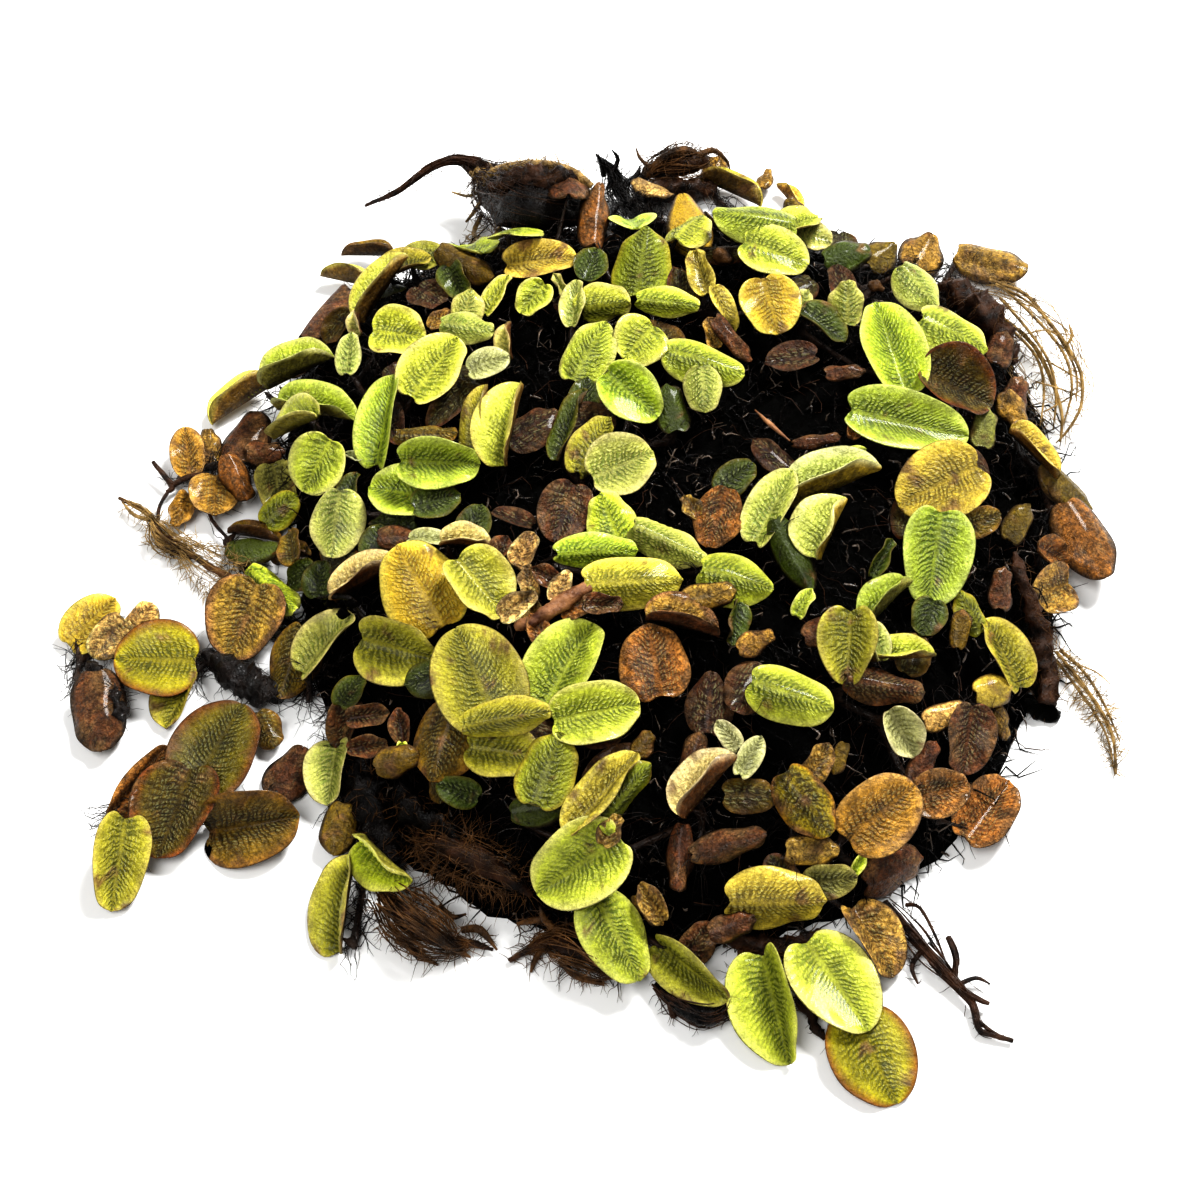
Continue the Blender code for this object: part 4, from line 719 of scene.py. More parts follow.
# Fine roots on the stems: how many to a square metre over the mound and beside it,
# and their settings from length to sag
ROOTLETS_OVER = 1100000.0
ROOTLETS_BESIDE = 1800000.0
ROOTLETS = (6 * MM, 0.07 * MM, 1.5, 3.5 * MM, 260.0, 4 * MM)

# Hairs: how many to a square metre, their length and lean on each kind of part,
# then their radius, and their wander, curls and sag
SPRIG_MASS_HAIRS = (350000.0, 3 * MM, 1.3)
MASS_HAIRS = (450000.0, 3 * MM, 1.2)
TWIG_HAIRS = (1500000.0, 2.2 * MM, 1.0)
HAIR_RADIUS = 0.06 * MM
HAIR_BENDS = (1.4 * MM, 260.0, 0.8 * MM)

# The solid core of a root: sides, lumps to a metre, the share below which a core counts as slight,
# and the radii between which a root goes over from thin to thick
CORE_SIDES = 16
CORE_LUMPS = 500
SLIGHT_CORE = 0.45
THIN_ROOT = (0.8 * MM, 2.5 * MM)

# How each root looks: solid share of its radius, threads along it, their radius in mm and how far out
# they start; thousands of hairs to a square metre, their length in mm and lean; the colours of the core
# and of its threads and hairs
ROOT_LOOKS = {
    "back_left_root": (0.62, 110, 0.13, 0.72, 700, 2.6, 1.4, "tangle", "umber"),
    "back_root_tuft": (0.5, 50, 0.14, 0.5, 800, 3.0, 1.1, "umber", "old"),
    "back_dark_root": (0.35, 50, 0.16, 0.4, 900, 3.6, 1.0, "black", "tangle"),
    "right_root_plume": (0.02, 24, 0.11, 0.8, 60, 3.0, 0.5, "golden", "golden"),
    "right_feather_root": (0.05, 5, 0.08, 0.5, 2600, 4.6, 1.0, "golden", "golden"),
    "front_left_plume": (0.25, 90, 0.12, 0.3, 500, 3.0, 0.9, "umber", "old"),
    "front_hairy_root": (0.45, 30, 0.1, 0.6, 1500, 4.0, 0.75, "umber", "old"),
    "front_root_feet": (0.3, 70, 0.15, 0.4, 600, 3.0, 1.0, "umber", "old"),
    "front_dark_root": (0.75, 24, 0.16, 0.6, 300, 2.2, 1.1, "tangle", "umber"),
    "left_root": (0.1, 44, 0.1, 0.4, 900, 2.6, 1.1, "old", "golden"),
    "left_twig": (0.25, 0, 0.1, 0.5, 0, 2.0, 0.8, "umber", "umber"),
    "front_twig": (0.25, 26, 0.15, 0.4, 60, 2.4, 0.9, "umber", "umber"),
}

# Thin twigs and tips of those roots, in the columns of ROOTS, and the colour of some
EXTRA_TWIGS = {
    "back_left_root": [
        # The first twigs form the golden rim along the clump's top edge: partly the hairs' own golden brown,
        # partly painted light from behind
        [(484, 186, 0.3, 11), (492, 172, 0.6, 13), (515, 166, 0.8, 13.5), (544, 165, 0.85, 14),
         (572, 172, 0.8, 13), (592, 186, 0.5, 11)],
        [(476, 168, 0.5, 10), (486, 186, 0.45, 8), (478, 206, 0.4, 5), (466, 222, 0.2, 4)],
        [(470, 172, 0.3, 9), (480, 184, 0.35, 8), (470, 196, 0.3, 6), (452, 192, 0.15, 5)],
        [(482, 214, 0.4, 4), (474, 232, 0.4, 2), (480, 244, 0.3, 1), (466, 238, 0.15, 1)],
        [(500, 228, 0.4, 4), (492, 246, 0.5, 2), (512, 252, 0.3, 1)],
    ],
    "back_dark_root": [
        [(604, 176, 0.5, 3), (600, 160, 0.4, 6), (596, 154, 0.15, 8)],
        [(610, 176, 0.5, 4), (618, 160, 0.4, 6), (612, 150, 0.12, 8)],
        [(618, 190, 0.6, 4), (636, 176, 0.5, 5), (640, 166, 0.15, 6)],
        [(626, 204, 0.6, 4), (646, 196, 0.5, 5), (660, 198, 0.3, 5)],
        [(616, 206, 0.6, 4), (606, 222, 0.5, 3), (612, 236, 0.3, 2)],
    ],
    "back_root_tuft": [
        [(646, 176, 0.6, 3), (664, 158, 0.8, 6), (684, 150, 0.8, 7), (700, 156, 0.5, 5)],
        [(690, 160, 0.6, 5), (712, 150, 0.5, 6), (726, 160, 0.3, 4), (730, 170, 0.1, 3)],
        [(650, 168, 0.4, 5), (640, 158, 0.3, 6), (636, 148, 0.1, 7)],
    ],
    "front_left_plume": [
        [(462, 930, 0.5, 1), (480, 930, 0.6, 1.5), (497, 950, 0.15, 0.5)],
        [(440, 940, 0.5, 0.5), (456, 950, 0.6, 0.5), (470, 957, 0.15, 0)],
        [(395, 930, 0.4, 0.5), (415, 952, 0.6, 0.3), (438, 965, 0.15, 0)],
        [(440, 905, 0.3, 2), (452, 917, 0.4, 2), (466, 914, 0.15, 2)],
    ],
    "front_root_feet": [
        [(556, 930, 0.5, 1), (538, 945, 0.7, 0.5), (508, 960, 0.2, 0)],
        [(550, 918, 0.4, 2), (535, 920, 0.5, 2), (517, 924, 0.3, 2)],
        [(545, 945, 0.4, 0.5), (535, 960, 0.4, 0), (531, 972, 0.2, 0)],
        [(560, 934, 0.6, 3), (545, 920, 0.5, 4), (540, 906, 0.2, 5)],
        [(560, 960, 0.5, 0.5), (576, 976, 0.5, 0.3), (604, 984, 0.3, 0)],
    ],
    "front_dark_root": [
        [(668, 998, 0.4, 0.5), (672, 1010, 0.5, 0.3), (674, 1018, 0.4, 0)],
    ],
    "left_twig": [
        [(153, 462, 0.3, 2), (172, 486, 0.5, 1), (166, 492, 0.3, 1)],
        [(172, 486, 0.5, 1), (186, 478, 0.5, 1.5), (205, 474, 0.4, 2)],
        [(172, 486, 0.3, 1), (160, 505, 0.3, 1), (158, 520, 0.3, 1)],
        [(206, 490, 0.3, 1), (212, 520, 0.3, 1), (240, 550, 0.2, 1)],
    ],
    "left_root": [
        [(121, 500, 0.12, 1), (134, 515, 0.3, 1), (152, 522, 0.4, 1), (158, 540, 0.4, 0)],
    ],
    "right_root_plume": [
        [(990, 280, 0.3, 3), (1025, 294, 0.32, 5), (1049, 322, 0.32, 6), (1067, 346, 0.3, 6),
         (1081, 374, 0.3, 5), (1081, 406, 0.26, 4), (1068, 430, 0.22, 2), (1056, 443, 0.1, 0.5)],
        [(1000, 298, 0.25, 5), (1028, 330, 0.25, 7), (1049, 362, 0.25, 7), (1056, 395, 0.22, 5),
         (1053, 430, 0.1, 1)],
        [(1004, 288, 0.25, 4), (1035, 318, 0.25, 6), (1063, 352, 0.25, 6), (1072, 388, 0.22, 5),
         (1063, 426, 0.1, 1)],
        [(987, 312, 0.25, 5), (1014, 332, 0.25, 6), (1037, 358, 0.25, 6), (1044, 390, 0.22, 4),
         (1040, 426, 0.1, 1)],
        [(996, 284, 0.2, 4), (1034, 306, 0.2, 6), (1058, 336, 0.2, 6), (1076, 372, 0.2, 5),
         (1076, 402, 0.1, 3)],
        [(1033, 354, 0.12, 6), (1060, 368, 0.14, 6.5), (1081, 380, 0.1, 5)],
        [(1036, 382, 0.12, 5), (1058, 388, 0.14, 5.5), (1079, 396, 0.1, 4)],
        [(1044, 412, 0.12, 3), (1062, 402, 0.14, 4), (1081, 390, 0.1, 4.5)],
        [(1020, 336, 0.12, 6), (1048, 330, 0.14, 6.5), (1066, 344, 0.1, 6)],
        [(1066, 346, 0.2, 6), (1072, 336, 0.28, 7), (1069, 324, 0.1, 8)],
    ],
    "right_feather_root": [
        [(1056, 660, 0.25, 0.6), (1074, 684, 0.22, 0.7), (1094, 712, 0.2, 0.7), (1108, 740, 0.16, 0.4),
         (1115, 776, 0.08, 0)],
        [(1060, 650, 0.3, 0.8), (1084, 672, 0.24, 0.9), (1104, 704, 0.2, 0.7), (1120, 742, 0.1, 0.3)],
        [(1076, 664, 0.12, 1), (1096, 672, 0.12, 1), (1110, 684, 0.06, 0.6)],
    ],
    "front_twig": [
        [(906, 905, 0.3, 2), (920, 908, 0.25, 3), (935, 935, 0.2, 2), (945, 960, 0.1, 1)],
        [(975, 1018, 0.3, 0.5), (992, 1032, 0.3, 0.3), (1012, 1042, 0.15, 0)],
        [(924, 948, 0.4, 0.8), (912, 966, 0.35, 0.4), (918, 984, 0.15, 0)],
        [(960, 984, 0.35, 0.6), (976, 978, 0.3, 0.8), (990, 984, 0.12, 0.6)],
    ],
}
# back_left_root's golden rim is partly painted light from behind
TWIG_COLOURS = {"back_left_root": "golden", "left_root": "golden"}

# Dark matted parts beside the roots and stems, in the columns of ROOTS, then the colour of some,
# how much of their radius is solid and how lumpy they are
MASSES = {
    "right_root_plume": [
        [(944, 284, 1.2, 2), (964, 296, 2.6, 2), (986, 318, 3.2, 2), (1006, 344, 2.0, 2),
         (1014, 364, 0.6, 2)],
    ],
    "right_feather_root": [
        [(1014, 552, 0.6, 3), (1026, 590, 1.3, 2), (1038, 630, 1.6, 1), (1044, 672, 2.0, 0.5),
         (1046, 706, 1.6, 0)],
    ],
    "back_left_root": [
        [(494, 187, 1.2, 11), (520, 179, 1.8, 11.5), (548, 178, 2.0, 11.5), (576, 184, 1.4, 10.5)],
    ],
    "back_root_tuft": [
        [(642, 194, 1.2, 1), (662, 190, 1.9, 1), (690, 188, 1.9, 1), (716, 190, 1.0, 1)],
    ],
    "front_dark_root": [
        [(728, 936, 1.0, 0.5), (760, 946, 1.7, 0.4), (792, 944, 1.4, 0.1), (820, 932, 0.5, 0)],
        [(744, 952, 1.0, 0.4), (742, 974, 1.1, 0.2), (734, 998, 0.8, 0), (728, 1010, 0.3, 0)],
        [(786, 956, 0.9, 0.5), (802, 994, 1.0, 0.4), (816, 1026, 0.9, 0.2), (824, 1040, 0.4, 0)],
    ],
    "left_root": [
        [(154, 530, 0.5, 0), (166, 543, 1.4, 0), (182, 552, 1.1, 0), (196, 558, 0.4, 0)],
    ],
    "front_left_plume": [
        [(352, 744, 1.2, 0), (360, 772, 2.0, 0), (366, 800, 2.6, 0), (380, 834, 2.8, 0), (392, 868, 2.4, 0)],
        [(398, 790, 1.4, 0), (420, 812, 2.4, 0), (446, 830, 2.0, 0), (470, 846, 0.8, 0)],
    ],
    "far_left_sprig_2": [
        [(206, 652, 0.8, 0), (226, 670, 2.2, 0), (250, 686, 2.6, 0), (276, 692, 1.6, 0), (296, 690, 0.6, 0)],
    ],
    "far_left_sprig_1": [
        [(88, 664, 0.6, 0.6), (98, 676, 1.3, 0.6), (112, 690, 1.6, 0.8), (118, 712, 1.4, 0.8),
         (124, 728, 0.5, 0.4)],
    ],
}
MASS_COLOURS = {"front_left_plume": "tangle"}
MASS_SHARE = 0.85
MASS_LUMPS = 0.8

# Small things among the leaves: a colour, then places in the view, radius and height over the heap in mm
BITS = [
    ("stem", [(516, 626, 0.6, 6), (536, 620, 1.0, 7), (560, 604, 1.1, 7.5), (586, 588, 0.9, 7.5),
              (606, 576, 0.3, 7)]),
    ("black", [(337, 614, 0.2, 8), (343, 614, 0.85, 8), (350, 614, 0.2, 8)]),
    ("black", [(324, 604, 0.2, 8), (330, 604, 0.7, 8), (336, 605, 0.2, 8)]),
    ("black", [(346, 603, 0.2, 8), (352, 604, 0.75, 8), (359, 605, 0.2, 8)]),
    ("tangle", [(318, 598, 0.2, 8), (336, 596, 0.4, 8.5), (352, 600, 0.4, 8), (366, 616, 0.3, 7)]),
    ("old", [(714, 252, 0.5, 4), (722, 256, 1.6, 4), (732, 260, 0.5, 4)]),
    ("old", [(716, 690, 0.4, 3), (728, 694, 1.6, 3), (742, 704, 0.5, 3)]),
    ("stem", [(755, 410, 0.12, 5), (770, 424, 0.4, 5), (790, 441, 0.12, 5)]),
    ("old", [(868, 284, 0.4, 5), (875, 286, 1.0, 5), (884, 290, 0.4, 5)]),
    ("black", [(1024, 700, 1.0, 1), (1038, 708, 1.7, 1), (1052, 714, 1.2, 0.6), (1060, 712, 0.3, 0.4)]),
]

# Old brown leaves in the tangle under the canopy: how many, the number before the first, how many
# lifts are tried, how high they are looked for, how much darker they are painted for the shade under the
# canopy, and what each is drawn by chance from: lengths in mm, widths as a share of them, levels, folds and
# tints
OLD_LEAVES = 220
FIRST_OLD = 1000
OLD_LIFTS = 2
OLD_HEIGHT = 3 * MM
OLD_SHADE = 0.55
OLD_LENGTHS = (6.5, 9.5)
OLD_WIDTHS = (0.6, 0.95)
OLD_FACING = (0, 0.15)
OLD_LEVELS = (-2, -1)
OLD_SHAPES = ("flat", "dome", "cup", "fold_l", "saddle", "fold_r")
OLD_TINTS = ("brown", "olive", "deep", "brown", "brown", "rimmed_dark")

# The camera's sensor in mm, the surface that the heap lies on, and the light:
# each lamp's place, its size in metres and its power in watts
SENSOR = 36
FLOOR_REACH = 1.5
PAPER_COLOUR = (0.93, 0.93, 0.92, 1)
ROOM_COLOUR = (1, 0.99, 0.97, 1)
ROOM_LIGHT = 0.21
LAMPS = {
    "window": ((0.32, 0.4, 0.7), 0.24, 10.2),
    "lamp": ((-0.25, -0.35, 0.8), 0.5, 4.5),
}


class Leaf:
    """One leaf of the table, with its sizes in metres and its number in the whole heap."""

    def __init__(self, sprig, number, row, view=FRONT):
        self.sprig, self.number, self.view = sprig, number, view
        self.across, self.down, length, width, self.spin, self.shape, self.tint, self.level = row
        self.length, self.width = length * MM, width * MM
        self.facing = FACING_GROUND, FACING_MOUND
        self.upper_shown = SHAPES[self.shape][-1] > 0
        chance = random.Random(SEED + number)
        self.turn = [chance.uniform(-TURN_SPREAD, TURN_SPREAD) for _ in range(2)]
        self.ridges = max(FEWEST_RIDGES, round(RIDGED_SHARE * self.length / RIDGE_SPACING))


def all_leaves():
    """The heap's leaves in the table's order."""
    leaves = []
    for table, view in ((SPRIGS, FRONT), (FAR_SPRIGS, BEHIND)):
        for sprig, rows in table.items():
            for row in rows:
                leaves.append(Leaf(sprig, len(leaves), row, view))
    return leaves


def view_ray(across, down):
    """The direction from the eye through a point of the view."""
    ray = VIEW_FORWARD * VIEW_DISTANCE
    ray += VIEW_RIGHT * (across - VIEW_MIDDLE) * VIEW_PIXEL
    ray += VIEW_UP * (VIEW_MIDDLE - down) * VIEW_PIXEL
    return ray.normalized()


def curve_point(a, b, c, d, t):
    """The point at share t of the way from b to c, on a smooth curve through a, b, c and d."""
    return b + 0.5 * t * (c - a + t * (2 * a - 5 * b + 4 * c - d + t * (3 * b - a - 3 * c + d)))


def rim_radius(angle):
    """How far the mound reaches that way, on a smooth closed curve through MOUND_RIM."""
    count = len(MOUND_RIM)
    place = (angle / math.tau * count) % count
    step = int(place)
    return curve_point(*(MOUND_RIM[(step + k) % count] for k in (-1, 0, 1, 2)), place - step)


def mound_height(x, y):
    """The mound's height over the surface it lies on, 0 beside it."""
    dx, dy = x - MOUND_MIDDLE[0], y - MOUND_MIDDLE[1]
    reach = math.hypot(dx, dy) / rim_radius(math.atan2(dy, dx))
    if reach >= 1:
        return 0.0
    return MOUND_HEIGHT * (1 - reach**MOUND_FLATNESS) ** MOUND_STEEPNESS


def over_mound(x, y):
    """0 beside the mound, rising to 1 where it is as high as MOUND_EDGE."""
    return min(1.0, mound_height(x, y) / MOUND_EDGE)


def surface_normal(x, y):
    """The way up from the mound, or from the surface beside it."""
    step = 1.5 * MM
    slope_x = (mound_height(x + step, y) - mound_height(x - step, y)) / (2 * step)
    slope_y = (mound_height(x, y + step) - mound_height(x, y - step)) / (2 * step)
    return Vector((-slope_x, -slope_y, 1)).normalized()


def place_on_heap(across, down, lift, view=FRONT):
    """Where the view's line through a point comes within lift(x, y) of the mound or the surface."""
    eye, ray = view @ VIEW_EYE, view @ view_ray(across, down)
    near, far = 0.0, 2 * VIEW_DISTANCE

    def above(distance):
        point = eye + ray * distance
        return point.z - mound_height(point.x, point.y) - lift(point.x, point.y)

    step = 1 * MM
    while near < far and above(near + step) > 0:
        near += step
    far = near + step
    for _ in range(SEARCH_HALVINGS):
        middle = (near + far) / 2
        if above(middle) > 0:
            near = middle
        else:
            far = middle
    return eye + ray * near


def canopy_lift(x, y):
    """How high a leaf of the lowest level floats over the mound, or over the surface beside it."""
    share = over_mound(x, y)
    return GROUND_LIFT + (CANOPY_LIFT - GROUND_LIFT) * share


def floor_height(x, y):
    """The lowest place that a blade may reach: over the creeping stems."""
    return mound_height(x, y) + STEM_LAYER * over_mound(x, y) + GAP


def margin(leaf, angle):
    """A point of the flat blade's right edge, from 0 in the notch to pi at the tip."""
    x = leaf.width / 2 * math.sin(angle) ** MARGIN_ROUNDNESS * (1 + BASE_FULLNESS * math.cos(angle))
    y = leaf.length * (0.5 - 0.5 * math.cos(angle) + NOTCH * math.exp(-((angle / NOTCH_ANGLE) ** 2)))
    return x, y


def flat_point(leaf, row, side):
    """A point of the flat blade: row runs from 0 at the stalk to 1 at the tip, side from -1 to 1."""
    x, y = margin(leaf, FIRST_ROW_ANGLE + (math.pi - FIRST_ROW_ANGLE) * row**ROW_SWEEP)
    rib = leaf.length * (NOTCH + (1 - NOTCH) * row)
    return x * side, rib + (y - rib) * abs(side)


def bent_point(leaf, x, y, rise=0.0):
    """A point of the flat blade after its halves are folded up and curled and its length is arched."""
    left, right, curl, arch, _ = SHAPES[leaf.shape]
    if x:
        fold = math.radians(right if x > 0 else left)
        curl_rate = math.radians(curl) / (leaf.width / 2)
        turn = fold + curl_rate * abs(x)
        across = (math.sin(turn) - math.sin(fold)) / curl_rate - rise * math.sin(turn)
        across = math.copysign(across, x)
        up = (math.cos(fold) - math.cos(turn)) / curl_rate + rise * math.cos(turn)
    else:
        across = rise * math.sin(rib_lean(leaf))
        up = rise * math.cos(rib_lean(leaf))
    radius = leaf.length / math.radians(arch)
    along = (y - leaf.length / 2) / radius
    return Vector((across, (radius + up) * math.sin(along), (radius + up) * math.cos(along) - radius))


def rib_lean(leaf):
    """How far the middle of the fold leans over to the right half."""
    left, right, *_ = SHAPES[leaf.shape]
    return math.radians(left - right) / 2


def blade_points(leaf, grow=0.0):
    """The blade's rings of left edge, top, right edge and underside, from the stalk to the tip."""
    rings = []
    for row in BLADE_ROWS:
        half = BLADE_THICKNESS / 2 * (1 - BLADE_TAPER * row) + grow
        x, y = flat_point(leaf, row, 1)
        rib = flat_point(leaf, row, 0)[1]
        wide = x + grow
        ring = [(-wide, y, 0), (0, rib, half), (wide, y, 0), (0, rib, -half)]
        rings.append([bent_point(leaf, *point) for point in ring])
    return rings, bent_point(leaf, 0, leaf.length + grow)


def blade_turn(leaf, at, tilt):
    """The blade's right, tip and upper directions where it lies, as a matrix."""
    toward = leaf.view @ -VIEW_FORWARD
    share = leaf.facing[0] + (leaf.facing[1] - leaf.facing[0]) * over_mound(at.x, at.y)
    upper = (toward * share + surface_normal(at.x, at.y) * (1 - share)).normalized()
    spin = math.radians(leaf.spin)
    way = leaf.view @ (VIEW_RIGHT * math.cos(spin) + VIEW_UP * math.sin(spin))
    tip = (way - toward * (way.dot(upper) / toward.dot(upper))).normalized()
    turn = Matrix((tip.cross(upper), tip, upper)).transposed()
    if not leaf.upper_shown:
        turn = turn @ Matrix.Rotation(math.pi, 3, "Y")
    turn = turn @ Matrix.Rotation(math.radians(tilt[0] + leaf.turn[0]), 3, "X")
    return turn @ Matrix.Rotation(math.radians(tilt[1] + leaf.turn[1]), 3, "Y")


def blade_faces(first, second):
    """The triangles between two of a blade's rings, the same way round on both halves."""
    left, top, right, under = first
    next_left, next_top, next_right, next_under = second
    return [
        (left, top, next_top),
        (left, next_top, next_left),
        (top, right, next_top),
        (right, next_right, next_top),
        (right, under, next_under),
        (right, next_under, next_right),
        (under, left, next_under),
        (left, next_left, next_under),
    ]


def tree_of(points, faces):
    """A search of the surface of those faces."""
    return BVHTree.FromPolygons(points, faces, all_triangles=True)


def linear(code):
    """A colour as light, from its sRGB code."""
    values = np.array([int(code[k : k + 2], 16) / 255 for k in (0, 2, 4)])
    return np.where(values < 0.04045, values / 12.92, ((values + 0.055) / 1.055) ** 2.4)


def smooth(value, low, high):
    """0 up to low, 1 from high on, and an even curve between them."""
    t = np.clip((value - low) / (high - low), 0, 1)
    return t * t * (3 - 2 * t)


def blend(first, second, share):
    """The first where share is 0, over to the second where it is 1."""
    return first + (second - first) * share


def half_section(leaf, side):
    """The curve of one half across the leaf: reach, lean, distance out and height."""
    left, right, curl, *_ = SHAPES[leaf.shape]
    fold = math.radians(right if side > 0 else left)
    start = -side * rib_lean(leaf)
    reach = np.linspace(0, leaf.width * SECTION_REACH, SECTION_STEPS)
    lean = start + (fold - start) * smooth(reach, 0, CREASE) + math.radians(curl) / (leaf.width / 2) * reach
    if max(left, right) >= FLARE_FROM:
        flare_start, flare_end = (share * leaf.width for share in FLARE_BAND)
        lean = lean - math.radians(FLARE) * smooth(reach, flare_start, flare_end)
    middle = (lean[1:] + lean[:-1]) / 2
    out = np.concatenate(([0], np.cumsum(np.cos(middle)) * reach[1]))
    high = np.concatenate(([0], np.cumsum(np.sin(middle)) * reach[1]))
    return reach, lean, out, high


def blade_face(leaf, rows, columns, upper):
    """Points of one face of the blade from left edge to right, and each point's reach from the rib."""
    chance = random.Random(SEED * 31 + leaf.number)

    def ripple(values, slowest, fastest):
        return np.sin(values * chance.uniform(slowest, fastest) + chance.uniform(0, 6))

    angle = FIRST_ROW_ANGLE + (math.pi - FIRST_ROW_ANGLE) * rows**FINE_SWEEP
    wide = leaf.width / 2 * np.sin(angle) ** FINE_ROUNDNESS * (1 + BASE_FULLNESS * np.cos(angle))
    notch = FINE_NOTCH * np.exp(-((angle / FINE_NOTCH_ANGLE) ** 2))
    edge = leaf.length * (0.5 - 0.5 * np.cos(angle) + notch)
    rib = leaf.length * (FINE_NOTCH + (1 - FINE_NOTCH) * rows)
    sides = np.concatenate((-columns[:0:-1], columns))
    share = np.abs(sides)[None, :]
    reach = share * wide[:, None]
    along = rib[:, None] + (edge - rib)[:, None] * share**RIDGE_CURVE
    along = along + RIDGE_STRAY * np.sin(sides * 9 + chance.uniform(0, 6))[None, :] * share
    profile = LEAF_HALF * np.sqrt(np.clip(1 - share**8, 0, 1))
    if upper:
        ridges = np.cos(math.tau * leaf.ridges * rows)[:, None]
        rise = profile + RIDGE_HEIGHT * ridges * smooth(share, 0.04, 0.2) * (1 - smooth(share, 0.84, 0.95))
    else:
        rise = -profile * np.ones((len(rows), 1))
    wave = EDGE_WAVE * share**2 * ripple(rows, 7, 15)[:, None]
    swell = ripple(rows, 9, 13)[:, None]
    wave = wave + 0.5 * EDGE_WAVE * swell * ripple(sides, 4, 7)[None, :] * share
    across, up = np.empty_like(reach), np.empty_like(reach)
    for side, mask in ((-1, sides < 0), (1, sides >= 0)):
        steps, lean, out, high = half_section(leaf, side)
        here = np.interp(reach[:, mask], steps, lean)
        lift = rise[:, mask] + wave[:, mask]
        across[:, mask] = side * (np.interp(reach[:, mask], steps, out) - lift * np.sin(here))
        up[:, mask] = np.interp(reach[:, mask], steps, high) + lift * np.cos(here)
    radius = leaf.length / math.radians(SHAPES[leaf.shape][3])
    bend = (along - leaf.length / 2) / radius
    points = np.stack((across, (radius + up) * np.sin(bend), (radius + up) * np.cos(bend) - radius), axis=-1)
    points[..., :2] *= FINE_GROWTH
    return points, reach, sides


def browning(leaf, points, amount, share):
    """How brown each point is: patches of noise, thicker with age and towards the edges."""
    shift = Vector((leaf.number * 3.1, leaf.number * 1.7, 0))
    places = [Vector(point) * (1 / BROWN_PATCH) for point in points.reshape(-1, 3)]
    broad = np.array([noise.noise(place + shift) for place in places])
    fine = np.array([noise.noise(place * 3.3 - shift) for place in places])
    cloud = (broad + 0.35 * fine).reshape(points.shape[:-1]) + 0.5 * amount * smooth(share, 0.6, 0.95)
    return smooth(cloud, 0.6 - 0.85 * amount, 0.85 - 0.7 * amount)


def leaf_colours(leaf, sides, points, upper):
    """The colours of each point of one face: on the ridges and in the grooves, with painted shade towards the
    rib, along the edge and on old leaves under the canopy.
    """
    ridge, groove, rim, other, brown = TINTS[leaf.tint]
    chance = random.Random(SEED * 17 + leaf.number)
    # Old leaves in the tangle are made darker by OLD_SHADE as painted shade under the canopy; the rest of
    # this factor is tone that differs at random
    light = chance.uniform(0.86, 1.12) * (OLD_SHADE if leaf.sprig == "root_mound" else 1)
    warm = np.array((chance.uniform(0.94, 1.08), 1, chance.uniform(0.9, 1.1)))
    share = np.abs(sides)[None, :, None] * np.ones((len(points), 1, 1))
    if upper == leaf.upper_shown:
        high, low, edge = linear(ridge), linear(groove), linear(rim)
    else:
        high, low, edge = linear(other), linear(other) * 0.5, linear(other) * 1.15
    # Painted shade: ridges and grooves darken towards the rib, where the halves fold, and lighten towards the
    # margin
    middle = smooth(share, 0.02, 0.8)
    low = low * (0.5 + 0.5 * middle)
    low = blend(low, high * 0.75, middle * 0.75)
    high = high * (0.62 + 0.42 * middle)
    rimmed = smooth(share, 0.8, 0.93)
    high, low = blend(high, edge, rimmed), blend(low, edge, rimmed)
    spots = browning(leaf, points, brown, share[:, :, 0])[:, :, None] * 0.85
    burnt = linear(BROWNED)
    high, low = blend(high, burnt * 1.2, spots), blend(low, burnt * 0.4, spots)
    # A thin dark band at the edge: partly the margin's own browning, partly painted shade along the edge
    brown_edge_and_shade = smooth(share, 0.955, 0.99) * min(0.85, 0.35 + brown)
    high, low = blend(high, burnt * 0.6, brown_edge_and_shade), blend(low, burnt * 0.5, brown_edge_and_shade)
    return np.clip(high * light * warm, 0, 1), np.clip(low * light * warm, 0, 1)


def new_object(name, data):
    """An object with this mesh, lamp or camera, put in the scene."""
    thing = bpy.data.objects.new(name, data)
    bpy.context.scene.collection.objects.link(thing)
    return thing


class Build:
    """Points, faces and attributes gathered for one piece."""

    def __init__(self):
        self.points, self.faces, self.count = [], [], 0
        self.values = {label: [] for label in ATTRIBUTES}

    def add(self, points, faces, *values):
        """A part's points and faces, and each point's value for each of ATTRIBUTES."""
        self.points.append(points)
        for parts, part in zip(self.values.values(), values):
            parts.append(part)
        self.faces += [tuple(int(k) + self.count for k in face) for face in faces]
        self.count += len(points)

    def object(self, name, finish):
        """The piece itself."""
        mesh = bpy.data.meshes.new(name)
        mesh.from_pydata(np.concatenate(self.points), [], self.faces)
        for label, (kind, field) in ATTRIBUTES.items():
            values = np.concatenate(self.values[label])
            if kind == "FLOAT_COLOR":
                values = np.concatenate((values, np.ones((len(values), 1))), axis=1)
            mesh.attributes.new(label, kind, "POINT").data.foreach_set(field, values.ravel())
        mesh.shade_smooth()
        mesh.materials.append(finish)
        return new_object(name, mesh)


def grid_faces(rows, columns, first, flip):
    """Quads between the points of a grid."""
    faces = []
    for row in range(rows - 1):
        for column in range(columns - 1):
            a = first + row * columns + column
            face = (a, a + 1, a + columns + 1, a + columns)
            faces.append(face[::-1] if flip else face)
    return faces


